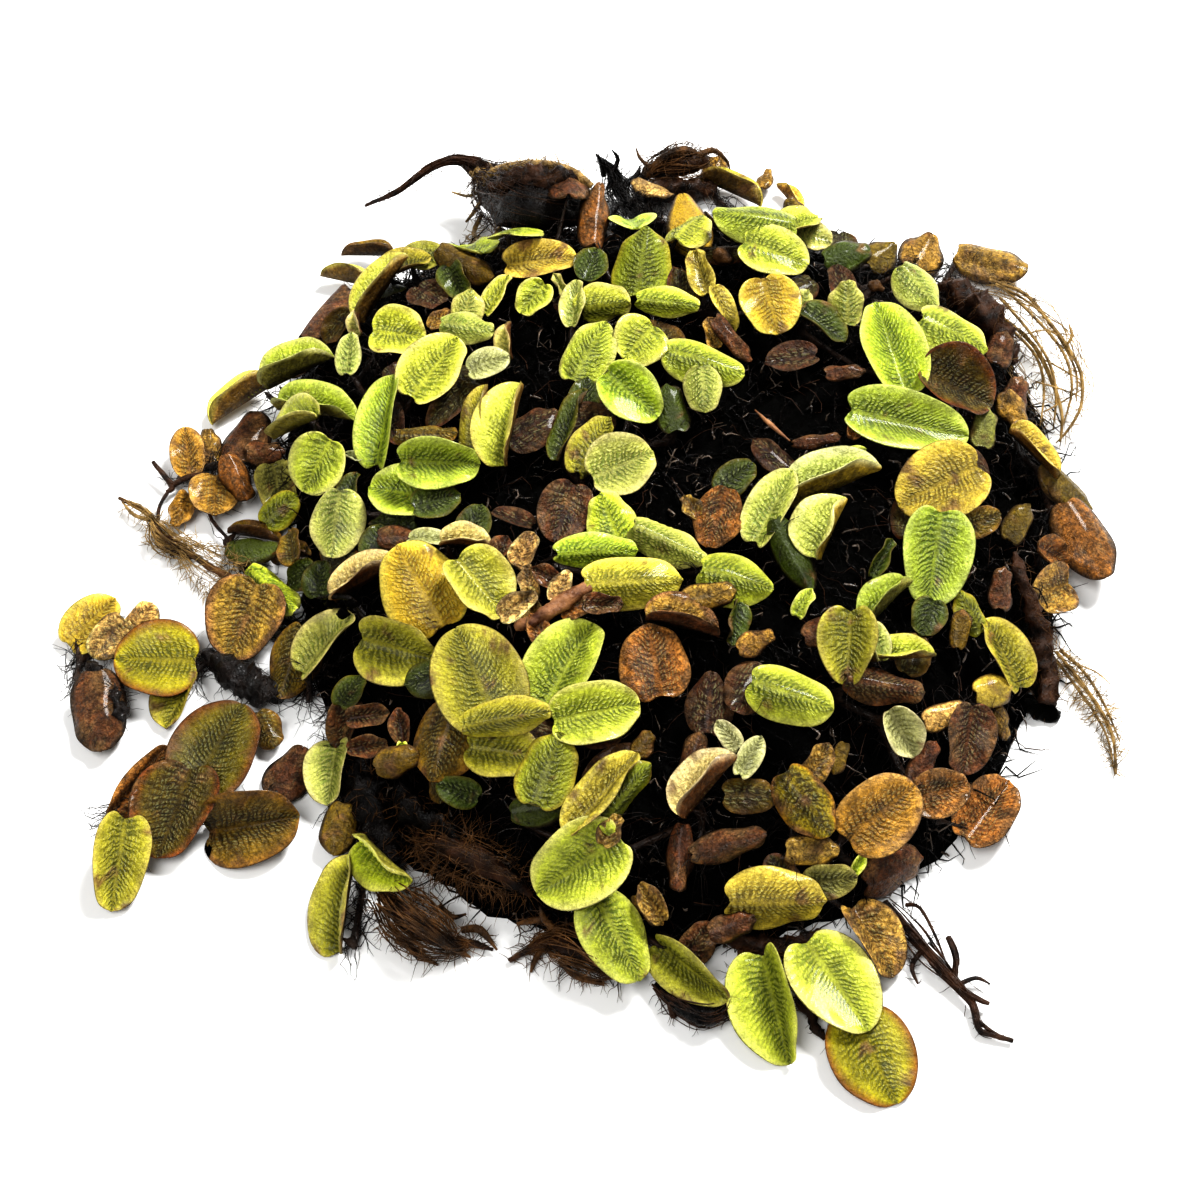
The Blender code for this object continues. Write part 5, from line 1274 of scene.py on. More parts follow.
def leaf_shell(count):
    """The faces that close a leaf with that many rows, and which point each of its points is joined to."""
    top, under = len(COLUMNS) * 2 - 1, len(UNDER_COLUMNS) * 2 - 1
    below = count * top
    tip = below + count * under
    last_top, last_under = below - top, tip - under
    faces = grid_faces(count, top, 0, False) + grid_faces(count, under, below, True)
    faces += [(last_top + k, last_top + k + 1, tip) for k in range(top - 1)]
    faces += [(last_under + k + 1, last_under + k, tip) for k in range(under - 1)]
    faces.append((*range(below, below + under), *reversed(range(top))))
    same = np.arange(tip + 1)
    for row in range(count):
        same[below + row * under] = row * top
        same[below + row * under + under - 1] = row * top + top - 1
    return faces, same


def add_leaf(build, leaf, turn, origin):
    """One detailed leaf: its ridged upper face, its underside and its tip."""
    rows = np.linspace(0, LAST_ROW, leaf.ridges * ROWS_PER_RIDGE + 1)
    rows = np.concatenate((rows[1] * np.linspace(0, 1, BASE_ROWS, endpoint=False) ** 2, rows[1:]))
    age = smooth(TINTS[leaf.tint][4], 0.1, 0.6)
    parts = []
    for upper, columns in ((True, COLUMNS), (False, UNDER_COLUMNS)):
        face, reach, sides = blade_face(leaf, rows, columns, upper)
        share = np.abs(sides)
        ridged = smooth(share, 0.02, 0.16) * (1 - 0.7 * smooth(share, 0.4, 0.8))
        ridged = ridged * (1 - smooth(share, 0.86, 0.96))
        ridged = np.repeat((ridged if upper else ridged * 0.5)[None, :], len(rows), axis=0)
        phase = np.repeat((leaf.ridges * rows)[:, None], len(sides), axis=1)
        grain = np.stack((phase, reach * np.sign(sides) / MM, ridged), axis=-1)
        ages = np.full(len(rows) * len(sides), age if upper == leaf.upper_shown else max(age, 0.7))
        high, low = leaf_colours(leaf, sides, face, upper)
        parts.append([*(values.reshape(-1, 3) for values in (face, high, low, grain)), ages])
    tip, _, _ = blade_face(leaf, np.array([LAST_ROW, 1.0]), np.array((0.0, 1.0)), True)
    parts.append([tip[1:2, 1], *(values[-1:] for values in parts[0][1:])])
    points, *values = (np.concatenate(columns) for columns in zip(*parts))
    faces, same = leaf_shell(len(rows))
    keep = same == np.arange(len(points))
    renumber = np.cumsum(keep) - 1
    shell = []
    for face in faces:
        corners = list(dict.fromkeys(int(renumber[same[k]]) for k in face))
        if len(corners) > 2:
            shell.append(tuple(corners))
    world = np.array(origin) + points[keep] @ np.array(turn).T
    world[:, 2] = np.clip(world[:, 2], GAP, CAD_BOX[1][2] + FINE_RISE)
    build.add(world, shell, *(column[keep] for column in values))


def corner_search(points):
    """A search of points by their place."""
    tree = KDTree(len(points))
    for k, point in enumerate(points):
        tree.insert(point, k)
    tree.balance()
    return tree


def node_tree(name):
    """A search of a node's surface."""
    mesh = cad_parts[name].data
    mesh.calc_loop_triangles()
    faces = [tuple(triangle.vertices) for triangle in mesh.loop_triangles]
    return tree_of([vertex.co for vertex in mesh.vertices], faces)


def placements(leaf, lifts=LIFT_TRIES):
    """Where the leaf may lie, in the order of trying: its turn and origin, with its plain rings and tip."""
    level = leaf.level * LEVEL_LIFT
    start = place_on_heap(leaf.across, leaf.down, lambda x, y: canopy_lift(x, y) + level, leaf.view)
    ray = leaf.view @ view_ray(leaf.across, leaf.down)
    rings, tip = blade_points(leaf)
    middle = sum((point for ring in rings for point in ring), tip.copy()) / (4 * len(rings) + 1)
    for lift in range(lifts):
        for tilt in TILT_TRIES:
            centre = start - ray * lift * LIFT_STEP
            turn = blade_turn(leaf, centre, tilt)
            yield turn, centre - turn @ middle, rings, tip


def find_blade(leaf, corners):
    """The placement that the frame's sprig has for this leaf, or None."""
    for turn, origin, rings, tip in placements(leaf):
        checks = (tip, rings[1][0], rings[2][2])
        if all(corners.find(origin + turn @ point)[2] < MATCHING for point in checks):
            return turn, origin
    return None


def free_blade(leaf, others, lifts=LIFT_TRIES):
    """The first placement that is clear of the mound and the other pieces, or None."""
    for turn, origin, _, _ in placements(leaf, lifts):
        points, tree = blade_shell(leaf, turn, origin)
        if any(point.z < floor_height(point.x, point.y) or point.z > CAD_BOX[1][2] for point in points):
            continue
        if not any(tree.overlap(other) for other in others):
            return turn, origin
    return None


def placed_points(leaf, turn, origin, grow=0.0):
    """The corners of the placed blade's plain form, ring by ring, with the tip last."""
    rings, tip = blade_points(leaf, grow)
    return [origin + turn @ point for ring in rings for point in ring] + [origin + turn @ tip]


def blade_shell(leaf, turn, origin):
    """The placed blade's plain form and a search of it."""
    points = placed_points(leaf, turn, origin, GAP / 2)
    indices = [list(range(4 * k, 4 * k + 4)) for k in range(len(BLADE_ROWS))]
    faces = [(0, 1, 2), (0, 2, 3)]
    for first, second in zip(indices, indices[1:]):
        faces += blade_faces(first, second)
    last = indices[-1]
    faces += [(last[k], last[(k + 1) % 4], len(points) - 1) for k in range(4)]
    return points, tree_of(points, faces)


def merged_shape(name):
    """A node's form with its corners joined."""
    shape = bmesh.new()
    shape.from_mesh(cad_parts[name].data)
    bmesh.ops.remove_doubles(shape, verts=shape.verts, dist=JOINING)
    return shape


def mesh_of(shape, name):
    """The form as a mesh."""
    mesh = bpy.data.meshes.new(name)
    shape.to_mesh(mesh)
    shape.free()
    return mesh


def subdivided(mesh, levels, kind):
    """The mesh made finer, rounded by CATMULL_CLARK or only split by SIMPLE."""
    thing = new_object("subdivided", mesh)
    step = thing.modifiers.new("subdivision", "SUBSURF")
    step.subdivision_type = kind
    step.levels = step.render_levels = levels
    return plain_mesh(thing)


def add_stem(build, name, blades, strands):
    """The sprig's stem and stalks: the frame's own, without its plain blades, rounded, and its fine roots."""
    shape = merged_shape(name)
    corners = corner_search([corner for blade in blades for corner in placed_points(*blade)])
    gone = [vertex for vertex in shape.verts if corners.find(vertex.co)[2] < MATCHING]
    bmesh.ops.delete(shape, geom=gone, context="VERTS")
    bmesh.ops.holes_fill(shape, edges=shape.edges)
    bmesh.ops.recalc_face_normals(shape, faces=shape.faces)
    stem = subdivided(mesh_of(shape, "stem"), 1, "CATMULL_CLARK")
    count = ROOTLETS_BESIDE if name.startswith(("far_left", "front_left")) else ROOTLETS_OVER
    roots = scatter(strands, stem, count, *ROOTLETS, len(name))
    add_plain(build, stem, linear(STALK_COLOUR))
    add_plain(build, roots, linear(ROOTLET_COLOUR))


def plain_mesh(thing):
    """The object's finished mesh. The object itself goes."""
    graph = bpy.context.evaluated_depsgraph_get()
    mesh = bpy.data.meshes.new_from_object(thing.evaluated_get(graph))
    bpy.data.objects.remove(thing, do_unlink=True)
    return mesh


def add_plain(build, mesh, colour):
    """A mesh in one colour that varies a little along it."""
    points = np.empty(len(mesh.vertices) * 3)
    mesh.vertices.foreach_get("co", points)
    points = points.reshape(-1, 3)
    mottle = 0.8 + 0.5 * np.sin(points[:, :1] * 1400 + np.sin(points[:, 1:2] * 1100) * 2)
    tints = np.clip(colour * mottle, 0, 1)
    grains = np.zeros((len(points), 3))
    faces = [tuple(face.vertices) for face in mesh.polygons]
    build.add(points, faces, tints, tints * 0.5, grains, np.full(len(points), 0.3))


class Nodes:
    """A node tree, with shorthands for its nodes."""

    def __init__(self, tree):
        self.tree = tree

    def wire(self, node, wires):
        """Gives a node's inputs, by name or number, outputs of other nodes or plain values."""
        for label, value in wires.items():
            if isinstance(value, bpy.types.NodeSocket):
                self.tree.links.new(value, node.inputs[label])
            else:
                node.inputs[label].default_value = value
        return node

    def node(self, kind, wires=None, **settings):
        """A new node with its inputs and settings."""
        made = self.tree.nodes.new(kind)
        for label, value in settings.items():
            setattr(made, label, value)
        return self.wire(made, wires or {})

    def sum(self, operation, *values):
        """The result of a math node on outputs or numbers."""
        return self.node("ShaderNodeMath", dict(enumerate(values)), operation=operation).outputs[0]


class Finish(Nodes):
    """A material, with shorthands for what makes its colour and relief."""

    def __init__(self, name):
        self.material = bpy.data.materials.new(name)
        self.material.use_nodes = True
        super().__init__(self.material.node_tree)
        self.shader = self.tree.nodes["Principled BSDF"]
        self.place = self.node("ShaderNodeTexCoord").outputs["Object"]

    def attribute(self, name, output="Color"):
        return self.node("ShaderNodeAttribute", attribute_name=name).outputs[output]

    def cloud(self, scale, detail=3, rough=0.55):
        """Noise of that scale per metre."""
        wires = {"Vector": self.place, "Scale": scale, "Detail": detail, "Roughness": rough}
        return self.node("ShaderNodeTexNoise", wires).outputs["Fac"]

    def spread(self, value, low, high, to_low, to_high):
        """The value moved from one range to another and kept within it."""
        wires = {"Value": value, "From Min": low, "From Max": high, "To Min": to_low, "To Max": to_high}
        return self.node("ShaderNodeMapRange", wires).outputs["Result"]

    def mix(self, share, first, second):
        """One colour over into another."""
        return self.node("ShaderNodeMix", {0: share, 6: first, 7: second}, data_type="RGBA").outputs[2]

    def scale(self, colour, factor):
        """The colour made lighter or darker."""
        return self.node("ShaderNodeVectorMath", {0: colour, "Scale": factor}, operation="SCALE").outputs[0]

    def set(self, **values):
        """The shader's sockets, by name with _ for a space: linked to outputs or set to numbers."""
        self.wire(self.shader, {label.replace("_", " "): value for label, value in values.items()})

    def relief(self, height):
        """Bumps of that height in metres."""
        self.set(Normal=self.node("ShaderNodeBump", {"Distance": 1, "Height": height}).outputs["Normal"])


def leaf_finish():
    """Ridges with beads on the upper side, lighter than the grooves; old leaves are veined and wrinkled."""
    finish = Finish("leaf")
    split = finish.node("ShaderNodeSeparateXYZ", {0: finish.attribute("grain", "Vector")})
    phase, distance, ridged = split.outputs
    age = finish.attribute("age", "Fac")

    stray = finish.spread(finish.cloud(380, 2), 0.3, 0.7, -0.6, 0.6)
    waver = finish.spread(finish.cloud(1500, 2), 0.3, 0.7, -0.16, 0.16)
    turn = finish.sum("MULTIPLY", finish.sum("ADD", phase, finish.sum("ADD", stray, waver)), math.tau)
    broad = finish.spread(finish.cloud(900, 3), 0.3, 0.7, -0.35, 0.65)
    wave = finish.spread(finish.sum("ADD", finish.sum("COSINE", turn), broad), -0.7, 0.5, 0, 1)
    stray = finish.spread(finish.cloud(1500, 2), 0.3, 0.7, -2.4, 2.4)
    row = finish.sum("MULTIPLY_ADD", distance, math.tau / BEAD_SPACING, stray)
    beads = finish.spread(finish.sum("COSINE", row), -0.4, 0.9, 0, 1)
    beads = finish.sum("MULTIPLY", finish.sum("MULTIPLY", beads, wave), finish.spread(ridged, 0.3, 1, 0, 1))
    groove = finish.sum("MULTIPLY", ridged, finish.sum("SUBTRACT", 1, wave))
    shown = finish.sum("SUBTRACT", 1, groove)
    colour = finish.mix(shown, finish.attribute("shade"), finish.attribute("tint"))

    patchy = finish.spread(finish.cloud(330, 5, 0.65), 0.32, 0.68, 0.62, 1.3)
    fine = finish.spread(finish.cloud(2600, 4, 0.75), 0.32, 0.68, 0.62, 1.36)
    colour = finish.scale(finish.scale(colour, patchy), fine)
    lines = finish.sum("ABSOLUTE", finish.sum("SUBTRACT", finish.cloud(640, 4, 0.6), 0.5))
    veins = finish.sum("MULTIPLY", finish.spread(lines, 0, 0.03, 1, 0), age)
    mottle = finish.spread(finish.cloud(760, 6, 0.72), 0.36, 0.64, 0.35, 1.7)
    plain = finish.sum("SUBTRACT", 1, age)
    colour = finish.scale(colour, finish.sum("MULTIPLY_ADD", mottle, age, plain))
    colour = finish.mix(finish.sum("MULTIPLY", veins, 0.6), colour, VEIN_COLOUR)
    colour = finish.mix(finish.sum("MULTIPLY", beads, 0.16), colour, BEAD_COLOUR)

    rough = finish.spread(finish.cloud(2400, 3), 0.35, 0.65, 0.22, 0.6)
    finish.set(Base_Color=colour, Roughness=finish.sum("MULTIPLY_ADD", age, 0.12, rough))
    finish.set(Specular_IOR_Level=0.38, Coat_Weight=0.12, Coat_Roughness=0.1)
    height = finish.sum("MULTIPLY", finish.cloud(1100, 5, 0.68), PUCKER_RELIEF)
    height = finish.sum("MULTIPLY_ADD", beads, BEAD_RELIEF, height)
    height = finish.sum("MULTIPLY_ADD", finish.sum("MULTIPLY", wave, ridged), RIDGE_RELIEF, height)
    wrinkle = finish.sum("MULTIPLY", finish.sum("MULTIPLY", finish.cloud(620, 5, 0.68), age), WRINKLE_RELIEF)
    finish.relief(finish.sum("ADD", finish.sum("MULTIPLY_ADD", veins, -VEIN_RELIEF, height), wrinkle))
    return finish.material


def root_finish(name, dark, light, shine=0.35, smoothest=0.2, roughest=0.6):
    """Wet root: a dark colour that lightens in streaks, shiny in places; on the glinting strands the pale
    streaks are painted highlights.
    """
    finish = Finish(name)
    streaks = finish.spread(finish.cloud(420, 6), 0.36, 0.68, 0, 1)
    colour = finish.mix(streaks, (*linear(dark), 1), (*linear(light), 1))
    rough = finish.spread(finish.cloud(1700, 3), 0.35, 0.65, smoothest, roughest)
    finish.set(Base_Color=colour, Roughness=rough, Specular_IOR_Level=shine)
    finish.relief(finish.sum("MULTIPLY", finish.cloud(2600, 5, 0.65), ROOT_RELIEF))
    return finish.material


class Tree(Nodes):
    """A geometry tree with a mesh going in and coming out, and these inputs."""

    def __init__(self, name, inputs):
        super().__init__(bpy.data.node_groups.new(name, "GeometryNodeTree"))
        sockets = self.tree.interface
        for way in ("INPUT", "OUTPUT"):
            sockets.new_socket("Geometry", in_out=way, socket_type="NodeSocketGeometry")
        for label, kind in inputs.items():
            sockets.new_socket(label, in_out="INPUT", socket_type=f"NodeSocket{kind}")
        self.given, self.end = self.node("NodeGroupInput").outputs, self.node("NodeGroupOutput")

    def tube(self, curve, sides, radius):
        """Ends the tree in tubes along the curve, in the material that it is given."""
        circle = self.node("GeometryNodeCurvePrimitiveCircle", {"Resolution": sides, "Radius": 1.0})
        wires = {0: curve, 1: circle.outputs[0], "Scale": radius, "Fill Caps": True}
        tubes = self.node("GeometryNodeCurveToMesh", wires)
        real = self.node("GeometryNodeRealizeInstances", {0: tubes.outputs[0]})
        paint = self.node("GeometryNodeSetMaterial", {0: real.outputs[0], 2: self.given["Material"]})
        self.wire(self.end, {0: paint.outputs[0]})


def strands_tree():
    """Scatters thin wandering strands over a mesh: they stand off it or lie along it."""
    tree = Tree("strands", STRAND_INPUTS)
    node, give = tree.node, tree.given

    def times(first, second):
        return tree.sum("MULTIPLY", first, second)

    def chance(low, high, salt):
        seed = tree.sum("ADD", give["Seed"], salt)
        return node("FunctionNodeRandomValue", {2: low, 3: high, 8: seed}, data_type="FLOAT").outputs[1]

    def turned(first, axis, angle):
        """The first turn with a further one about its own axis."""
        further = node("FunctionNodeAxisAngleToRotation", {0: axis, 1: angle}).outputs[0]
        return node("FunctionNodeRotateRotation", {0: first, 1: further}, rotation_space="LOCAL").outputs[0]

    def vector(*parts):
        return node("ShaderNodeCombineXYZ", dict(enumerate(parts))).outputs[0]

    def vector_sum(operation, wires):
        return node("ShaderNodeVectorMath", wires, operation=operation).outputs[0]

    wires = {0: give["Geometry"], 4: give["Count"], 6: give["Seed"]}
    seeds = node("GeometryNodeDistributePointsOnFaces", wires)
    line = node("GeometryNodeCurvePrimitiveLine", {1: (0, 0, 1)})
    strand = node("GeometryNodeResampleCurve", {0: line.outputs[0], 2: STRAND_POINTS})
    spun = turned(seeds.outputs[2], (0, 0, 1), chance(0, math.tau, 5))
    leaning = turned(spun, (1, 0, 0), times(give["Lean"], chance(0.55, 1.0, 3)))
    size = times(give["Length"], chance(0.45, 1.0, 7))
    wires = {0: seeds.outputs[0], 2: strand.outputs[0], 5: leaning, 6: vector(size, size, size)}
    real = node("GeometryNodeRealizeInstances", {0: node("GeometryNodeInstanceOnPoints", wires).outputs[0]})

    along = node("GeometryNodeSplineParameter").outputs[0]
    spot = node("GeometryNodeInputPosition").outputs[0]
    wires = {"Vector": spot, "Scale": give["Curls"], "W": times(give["Seed"], 1.7), "Detail": 2}
    cloud = node("ShaderNodeTexNoise", wires, noise_dimensions="4D")
    middle = vector_sum("SUBTRACT", {0: cloud.outputs["Color"], 1: (0.5, 0.5, 0.5)})
    stray = vector_sum("SCALE", {0: middle, "Scale": times(times(give["Wander"], 4.0), along)})
    drop = times(times(give["Sag"], -1.0), times(along, along))
    shift = vector_sum("ADD", {0: stray, 1: vector(0, 0, drop)})
    moved = node("GeometryNodeSetPosition", {0: real.outputs[0], "Offset": shift})

    x, y, z = node("ShaderNodeSeparateXYZ", {0: spot}).outputs
    over_floor = vector(x, y, tree.sum("MAXIMUM", z, give["Radius"]))
    held = node("GeometryNodeSetPosition", {0: moved.outputs[0], "Position": over_floor})
    taper = tree.sum("SUBTRACT", 1.0, times(tree.sum("POWER", along, 2.0), 0.75))
    tree.tube(held.outputs[0], 3, times(give["Radius"], taper))
    return tree.tree


def threads_tree():
    """Turns the edges of a mesh into round threads; each corner's radius is its own."""
    tree = Tree("threads", {"Sides": "Int", "Material": "Material"})
    curve = tree.node("GeometryNodeMeshToCurve", {0: tree.given["Geometry"]})
    radius = tree.node("GeometryNodeInputNamedAttribute", {0: "thread"}, data_type="FLOAT")
    tree.tube(curve.outputs[0], tree.given["Sides"], radius.outputs[0])
    return tree.tree


def run_tree(tree, mesh, settings):
    """The mesh after the tree with these settings, as a plain mesh."""
    thing = new_object(tree.name, mesh)
    step = thing.modifiers.new(tree.name, "NODES")
    step.node_group = tree
    for socket in tree.interface.items_tree:
        if socket.in_out == "INPUT" and socket.name in settings:
            step[socket.identifier] = settings[socket.name]
    return plain_mesh(thing)


def scatter(strands, mesh, *settings):
    """Strands on the mesh, with settings in the order of STRAND_INPUTS."""
    return run_tree(strands, mesh.copy(), dict(zip(STRAND_INPUTS, settings)))


def place_all_leaves():
    """Every leaf with its place: first those that the frame's sprigs have, then the rest in free room."""
    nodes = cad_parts
    corners = {
        name: corner_search([vertex.co for vertex in nodes[name].data.vertices])
        for name in nodes
        if name in SPRIGS or name in FAR_SPRIGS
    }
    placed, waiting = [], []
    for leaf in all_leaves():
        spot = None
        if leaf.length >= SMALLEST_LEAF and leaf.sprig in corners:
            spot = find_blade(leaf, corners[leaf.sprig])
        if spot:
            placed.append((leaf, *spot))
        else:
            waiting.append(leaf)
    matched, number = len(placed), len(placed) + len(waiting)
    waiting += [Leaf(None, number + k, row) for k, row in enumerate(SMALL_LEAVES)]
    others = [node_tree(name) for name in nodes]
    for leaf in waiting:
        spot = free_blade(leaf, others)
        if spot:
            if leaf.sprig not in corners:
                nearest = min(placed[:matched], key=lambda other: (other[2] - spot[1]).length)
                leaf.sprig = nearest[0].sprig
            placed.append((leaf, *spot))
            others.append(blade_shell(leaf, *spot)[1])
    return placed, matched, others


def old_leaves(others):
    """Old brown leaves caught in the tangle between the sprigs and the mound."""
    chance = random.Random(SEED + 90)
    placed = []
    for number in range(FIRST_OLD + 1, FIRST_OLD + OLD_LEAVES + 1):
        angle, reach = chance.uniform(0, math.tau), math.sqrt(chance.uniform(0, 0.92))
        x = MOUND_MIDDLE[0] + math.cos(angle) * reach * rim_radius(angle)
        y = MOUND_MIDDLE[1] + math.sin(angle) * reach * rim_radius(angle)
        seen = Vector((x, y, mound_height(x, y) + OLD_HEIGHT)) - VIEW_EYE
        seen *= VIEW_DISTANCE / seen.dot(VIEW_FORWARD)
        across = VIEW_MIDDLE + seen.dot(VIEW_RIGHT) / VIEW_PIXEL
        down = VIEW_MIDDLE - seen.dot(VIEW_UP) / VIEW_PIXEL
        shape = chance.choice(OLD_SHAPES)
        length = chance.uniform(*OLD_LENGTHS)
        width, spin = length * chance.uniform(*OLD_WIDTHS), chance.uniform(0, 360)
        row = (across, down, length, width, spin, shape, chance.choice(OLD_TINTS), chance.choice(OLD_LEVELS))
        leaf = Leaf("root_mound", number, row)
        leaf.ridges, leaf.facing = leaf.ridges // 2 + 1, OLD_FACING
        spot = free_blade(leaf, others, OLD_LIFTS)
        if spot:
            placed.append((leaf, *spot))
            others.append(blade_shell(leaf, *spot)[1])
    return placed


def mass_mesh(rows, finish):
    """A dark matted part, from its row in MASSES."""
    return core_mesh(root_route(rows), lambda radius: MASS_SHARE, finish, MASS_LUMPS)


def add_sprigs(placed, matched, finish, strands):
    """Each sprig's stem and leaves as one piece in its node's place."""
    for name in (*SPRIGS, *FAR_SPRIGS):
        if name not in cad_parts:
            continue
        build = Build()
        mine = [spot for spot in placed if spot[0].sprig == name]
        kept = [spot for spot in placed[:matched] if spot[0].sprig == name]
        for leaf, turn, origin in mine:
            add_leaf(build, leaf, turn, origin)
        add_stem(build, name, kept, strands)
        for rows in MASSES.get(name, []):
            mass = mass_mesh(rows, finish)
            add_plain(build, mass, linear(ROOTLET_COLOUR) * 0.6)
            add_plain(build, hairy(strands, mass, *SPRIG_MASS_HAIRS, 70, finish), linear(ROOTLET_COLOUR))
        piece = build.object(f"{name}_plant", finish)
        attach(piece, "root")
        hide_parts(name)


def joined(name, meshes):
    """One object from several meshes, each with its own finish."""
    shape = bmesh.new()
    finishes = []
    for mesh in meshes:
        start = len(shape.faces)
        shape.from_mesh(mesh)
        shape.faces.ensure_lookup_table()
        slots = []
        for finish in mesh.materials:
            if finish not in finishes:
                finishes.append(finish)
            slots.append(finishes.index(finish))
        for face in shape.faces[start:]:
            face.material_index = slots[min(face.material_index, len(slots) - 1)]
            face.smooth = True
    mesh = mesh_of(shape, name)
    for finish in finishes:
        mesh.materials.append(finish)
    return new_object(name, mesh)


def lumpy(mesh, finish):
    """The mesh made finer and lumpy, and drawn in a little."""
    fine = subdivided(mesh, 3, "SIMPLE")
    normals = [vertex.normal.copy() for vertex in fine.vertices]
    for vertex, normal in zip(fine.vertices, normals):
        lump = noise.fractal(vertex.co * MOUND_LUMPS, 0.7, 2.1, 4)
        vertex.co += normal * (lump * MOUND_LUMP_HEIGHT - MOUND_SHRINK)
        vertex.co.z = max(vertex.co.z, 0)
    fine.materials.clear()
    fine.materials.append(finish)
    return fine


def add_mound(strands, finishes, old):
    """The tangle of roots under the leaves."""
    meshes = [lumpy(mesh_of(merged_shape("root_mound"), "mound"), finishes["black"])]
    shape = merged_shape("root_mound")
    shape.normal_update()
    bare = [face for face in shape.faces if face.normal.z < ROOTED_SLOPE]
    bmesh.ops.delete(shape, geom=bare, context="FACES")
    slopes = mesh_of(shape, "slopes")
    for colour, *settings in TANGLE:
        meshes.append(scatter(strands, slopes, *settings, finishes[colour]))
    build = Build()
    for leaf, turn, origin in old:
        add_leaf(build, leaf, turn, origin)
    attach(build.object("old_leaves", finishes["leaf"]), "root")
    piece = joined("root_mound_tangle", meshes)
    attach(piece, "root")
    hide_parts("root_mound")


def root_route(rows, steps=9):
    """The middle line and radius of a root, with points between the table's on a smooth curve."""
    knots = []
    for across, down, radius, height in rows:
        lift = (radius + height) * MM + GAP
        knots.append((place_on_heap(across, down, lambda x, y: lift), radius * MM))
    return smooth_route(knots, steps)


def smooth_route(knots, steps):
    """Points and radii on a smooth curve through the knots."""
    route = []
    for k in range(len(knots) - 1):
        picks = [knots[max(0, min(len(knots) - 1, k + step))] for step in (-1, 0, 1, 2)]
        places, radii = zip(*picks)
        for step in range(steps):
            t = step / steps
            route.append((curve_point(*places, t), blend(radii[1], radii[2], smooth(t, 0, 1))))
    return route + [knots[-1]]


def route_frames(route):
    """Two directions across the route at each of its points."""
    frames, side = [], None
    for k, (point, _) in enumerate(route):
        way = (route[min(k + 1, len(route) - 1)][0] - route[max(k - 1, 0)][0]).normalized()
        side = way.orthogonal() if side is None else side
        side = (side - way * side.dot(way)).normalized()
        frames.append((side, way.cross(side)))
    return frames


def resting(point, radius):
    """The point, no lower than the mound or the surface under it."""
    point.z = max(point.z, mound_height(point.x, point.y) + radius)
    return point


def core_mesh(route, share, finish, lumps=0.35):
    """A lumpy tube along the route, closed at both ends."""
    points, faces, sides = [], [], CORE_SIDES
    for (point, radius), (side, other) in zip(route, route_frames(route)):
        for step in range(sides):
            angle = math.tau * step / sides
            out = side * math.cos(angle) + other * math.sin(angle)
            lump = 1 + lumps * noise.fractal((point + out * radius) * CORE_LUMPS, 0.6, 2.1, 5)
            points.append(resting(point + out * radius * share(radius) * lump, 0.1 * MM))
    for ring in range(len(route) - 1):
        for step in range(sides):
            a, b = ring * sides + step, ring * sides + (step + 1) % sides
            faces.append((a, b, b + sides, a + sides))
    faces.append(tuple(reversed(range(sides))))
    faces.append(tuple(range(len(points) - sides, len(points))))
    mesh = bpy.data.meshes.new("core")
    mesh.from_pydata(points, [], faces)
    mesh.materials.append(finish)
    return mesh


def thread_mesh(lines):
    """Lines of points with a radius each, as a mesh of edges for the threads tree."""
    points, edges, radii = [], [], []
    for line in lines:
        edges += [(len(points) + k, len(points) + k + 1) for k in range(len(line) - 1)]
        points += [point for point, _ in line]
        radii += [radius for _, radius in line]
    mesh = bpy.data.meshes.new("threads")
    mesh.from_pydata(points, edges, [])
    mesh.attributes.new("thread", "FLOAT", "POINT").data.foreach_set("value", radii)
    return mesh


def bundle(whole, count, thick, inner, outer, salt):
    """Threads that run along a route within its thickness, from the inner to the outer share of it."""
    chance = random.Random(SEED + salt)
    route = whole[::2]
    frames = route_frames(route)
    lines = []
    for _ in range(count):
        first = chance.uniform(0, 0.3) * (len(route) - 1)
        last = chance.uniform(0.6, 1) * (len(route) - 1)
        angle, twist = chance.uniform(0, math.tau), chance.uniform(-1.2, 1.2)
        reach = chance.uniform(inner, outer)
        shift = Vector([chance.uniform(0, 50) for _ in range(3)])
        width = thick * chance.uniform(0.5, 1.2)
        line = []
        for k in range(int(first), int(last) + 1):
            (point, radius), (side, other) = route[k], frames[k]
            turn = angle + twist * k / len(route)
            out = side * math.cos(turn) + other * math.sin(turn)
            stray = noise.noise_vector(point * 160 + shift) * (0.35 * radius + 0.12 * MM)
            thin = width * (1 - 0.7 * (k - first) / max(1, last - first))
            spread = reach * (0.55 + 0.45 * smooth(radius, *THIN_ROOT))
            line.append((resting(point + out * radius * spread + stray, thin), thin))
        if len(line) > 2:
            lines.append(line)
    return lines


def core_share(core, radius):
    """How much of its radius a root's solid core fills: thin parts are mostly threads."""
    if core < SLIGHT_CORE:
        return min(0.85, core + 0.2 * MM / radius)
    return SLIGHT_CORE + (core - SLIGHT_CORE) * smooth(radius, *THIN_ROOT)


def hairy(strands, mesh, count, length, lean, seed, finish):
    """Short wandering hairs on a mesh."""
    return scatter(strands, mesh, count, length, HAIR_RADIUS, lean, *HAIR_BENDS, seed, finish)


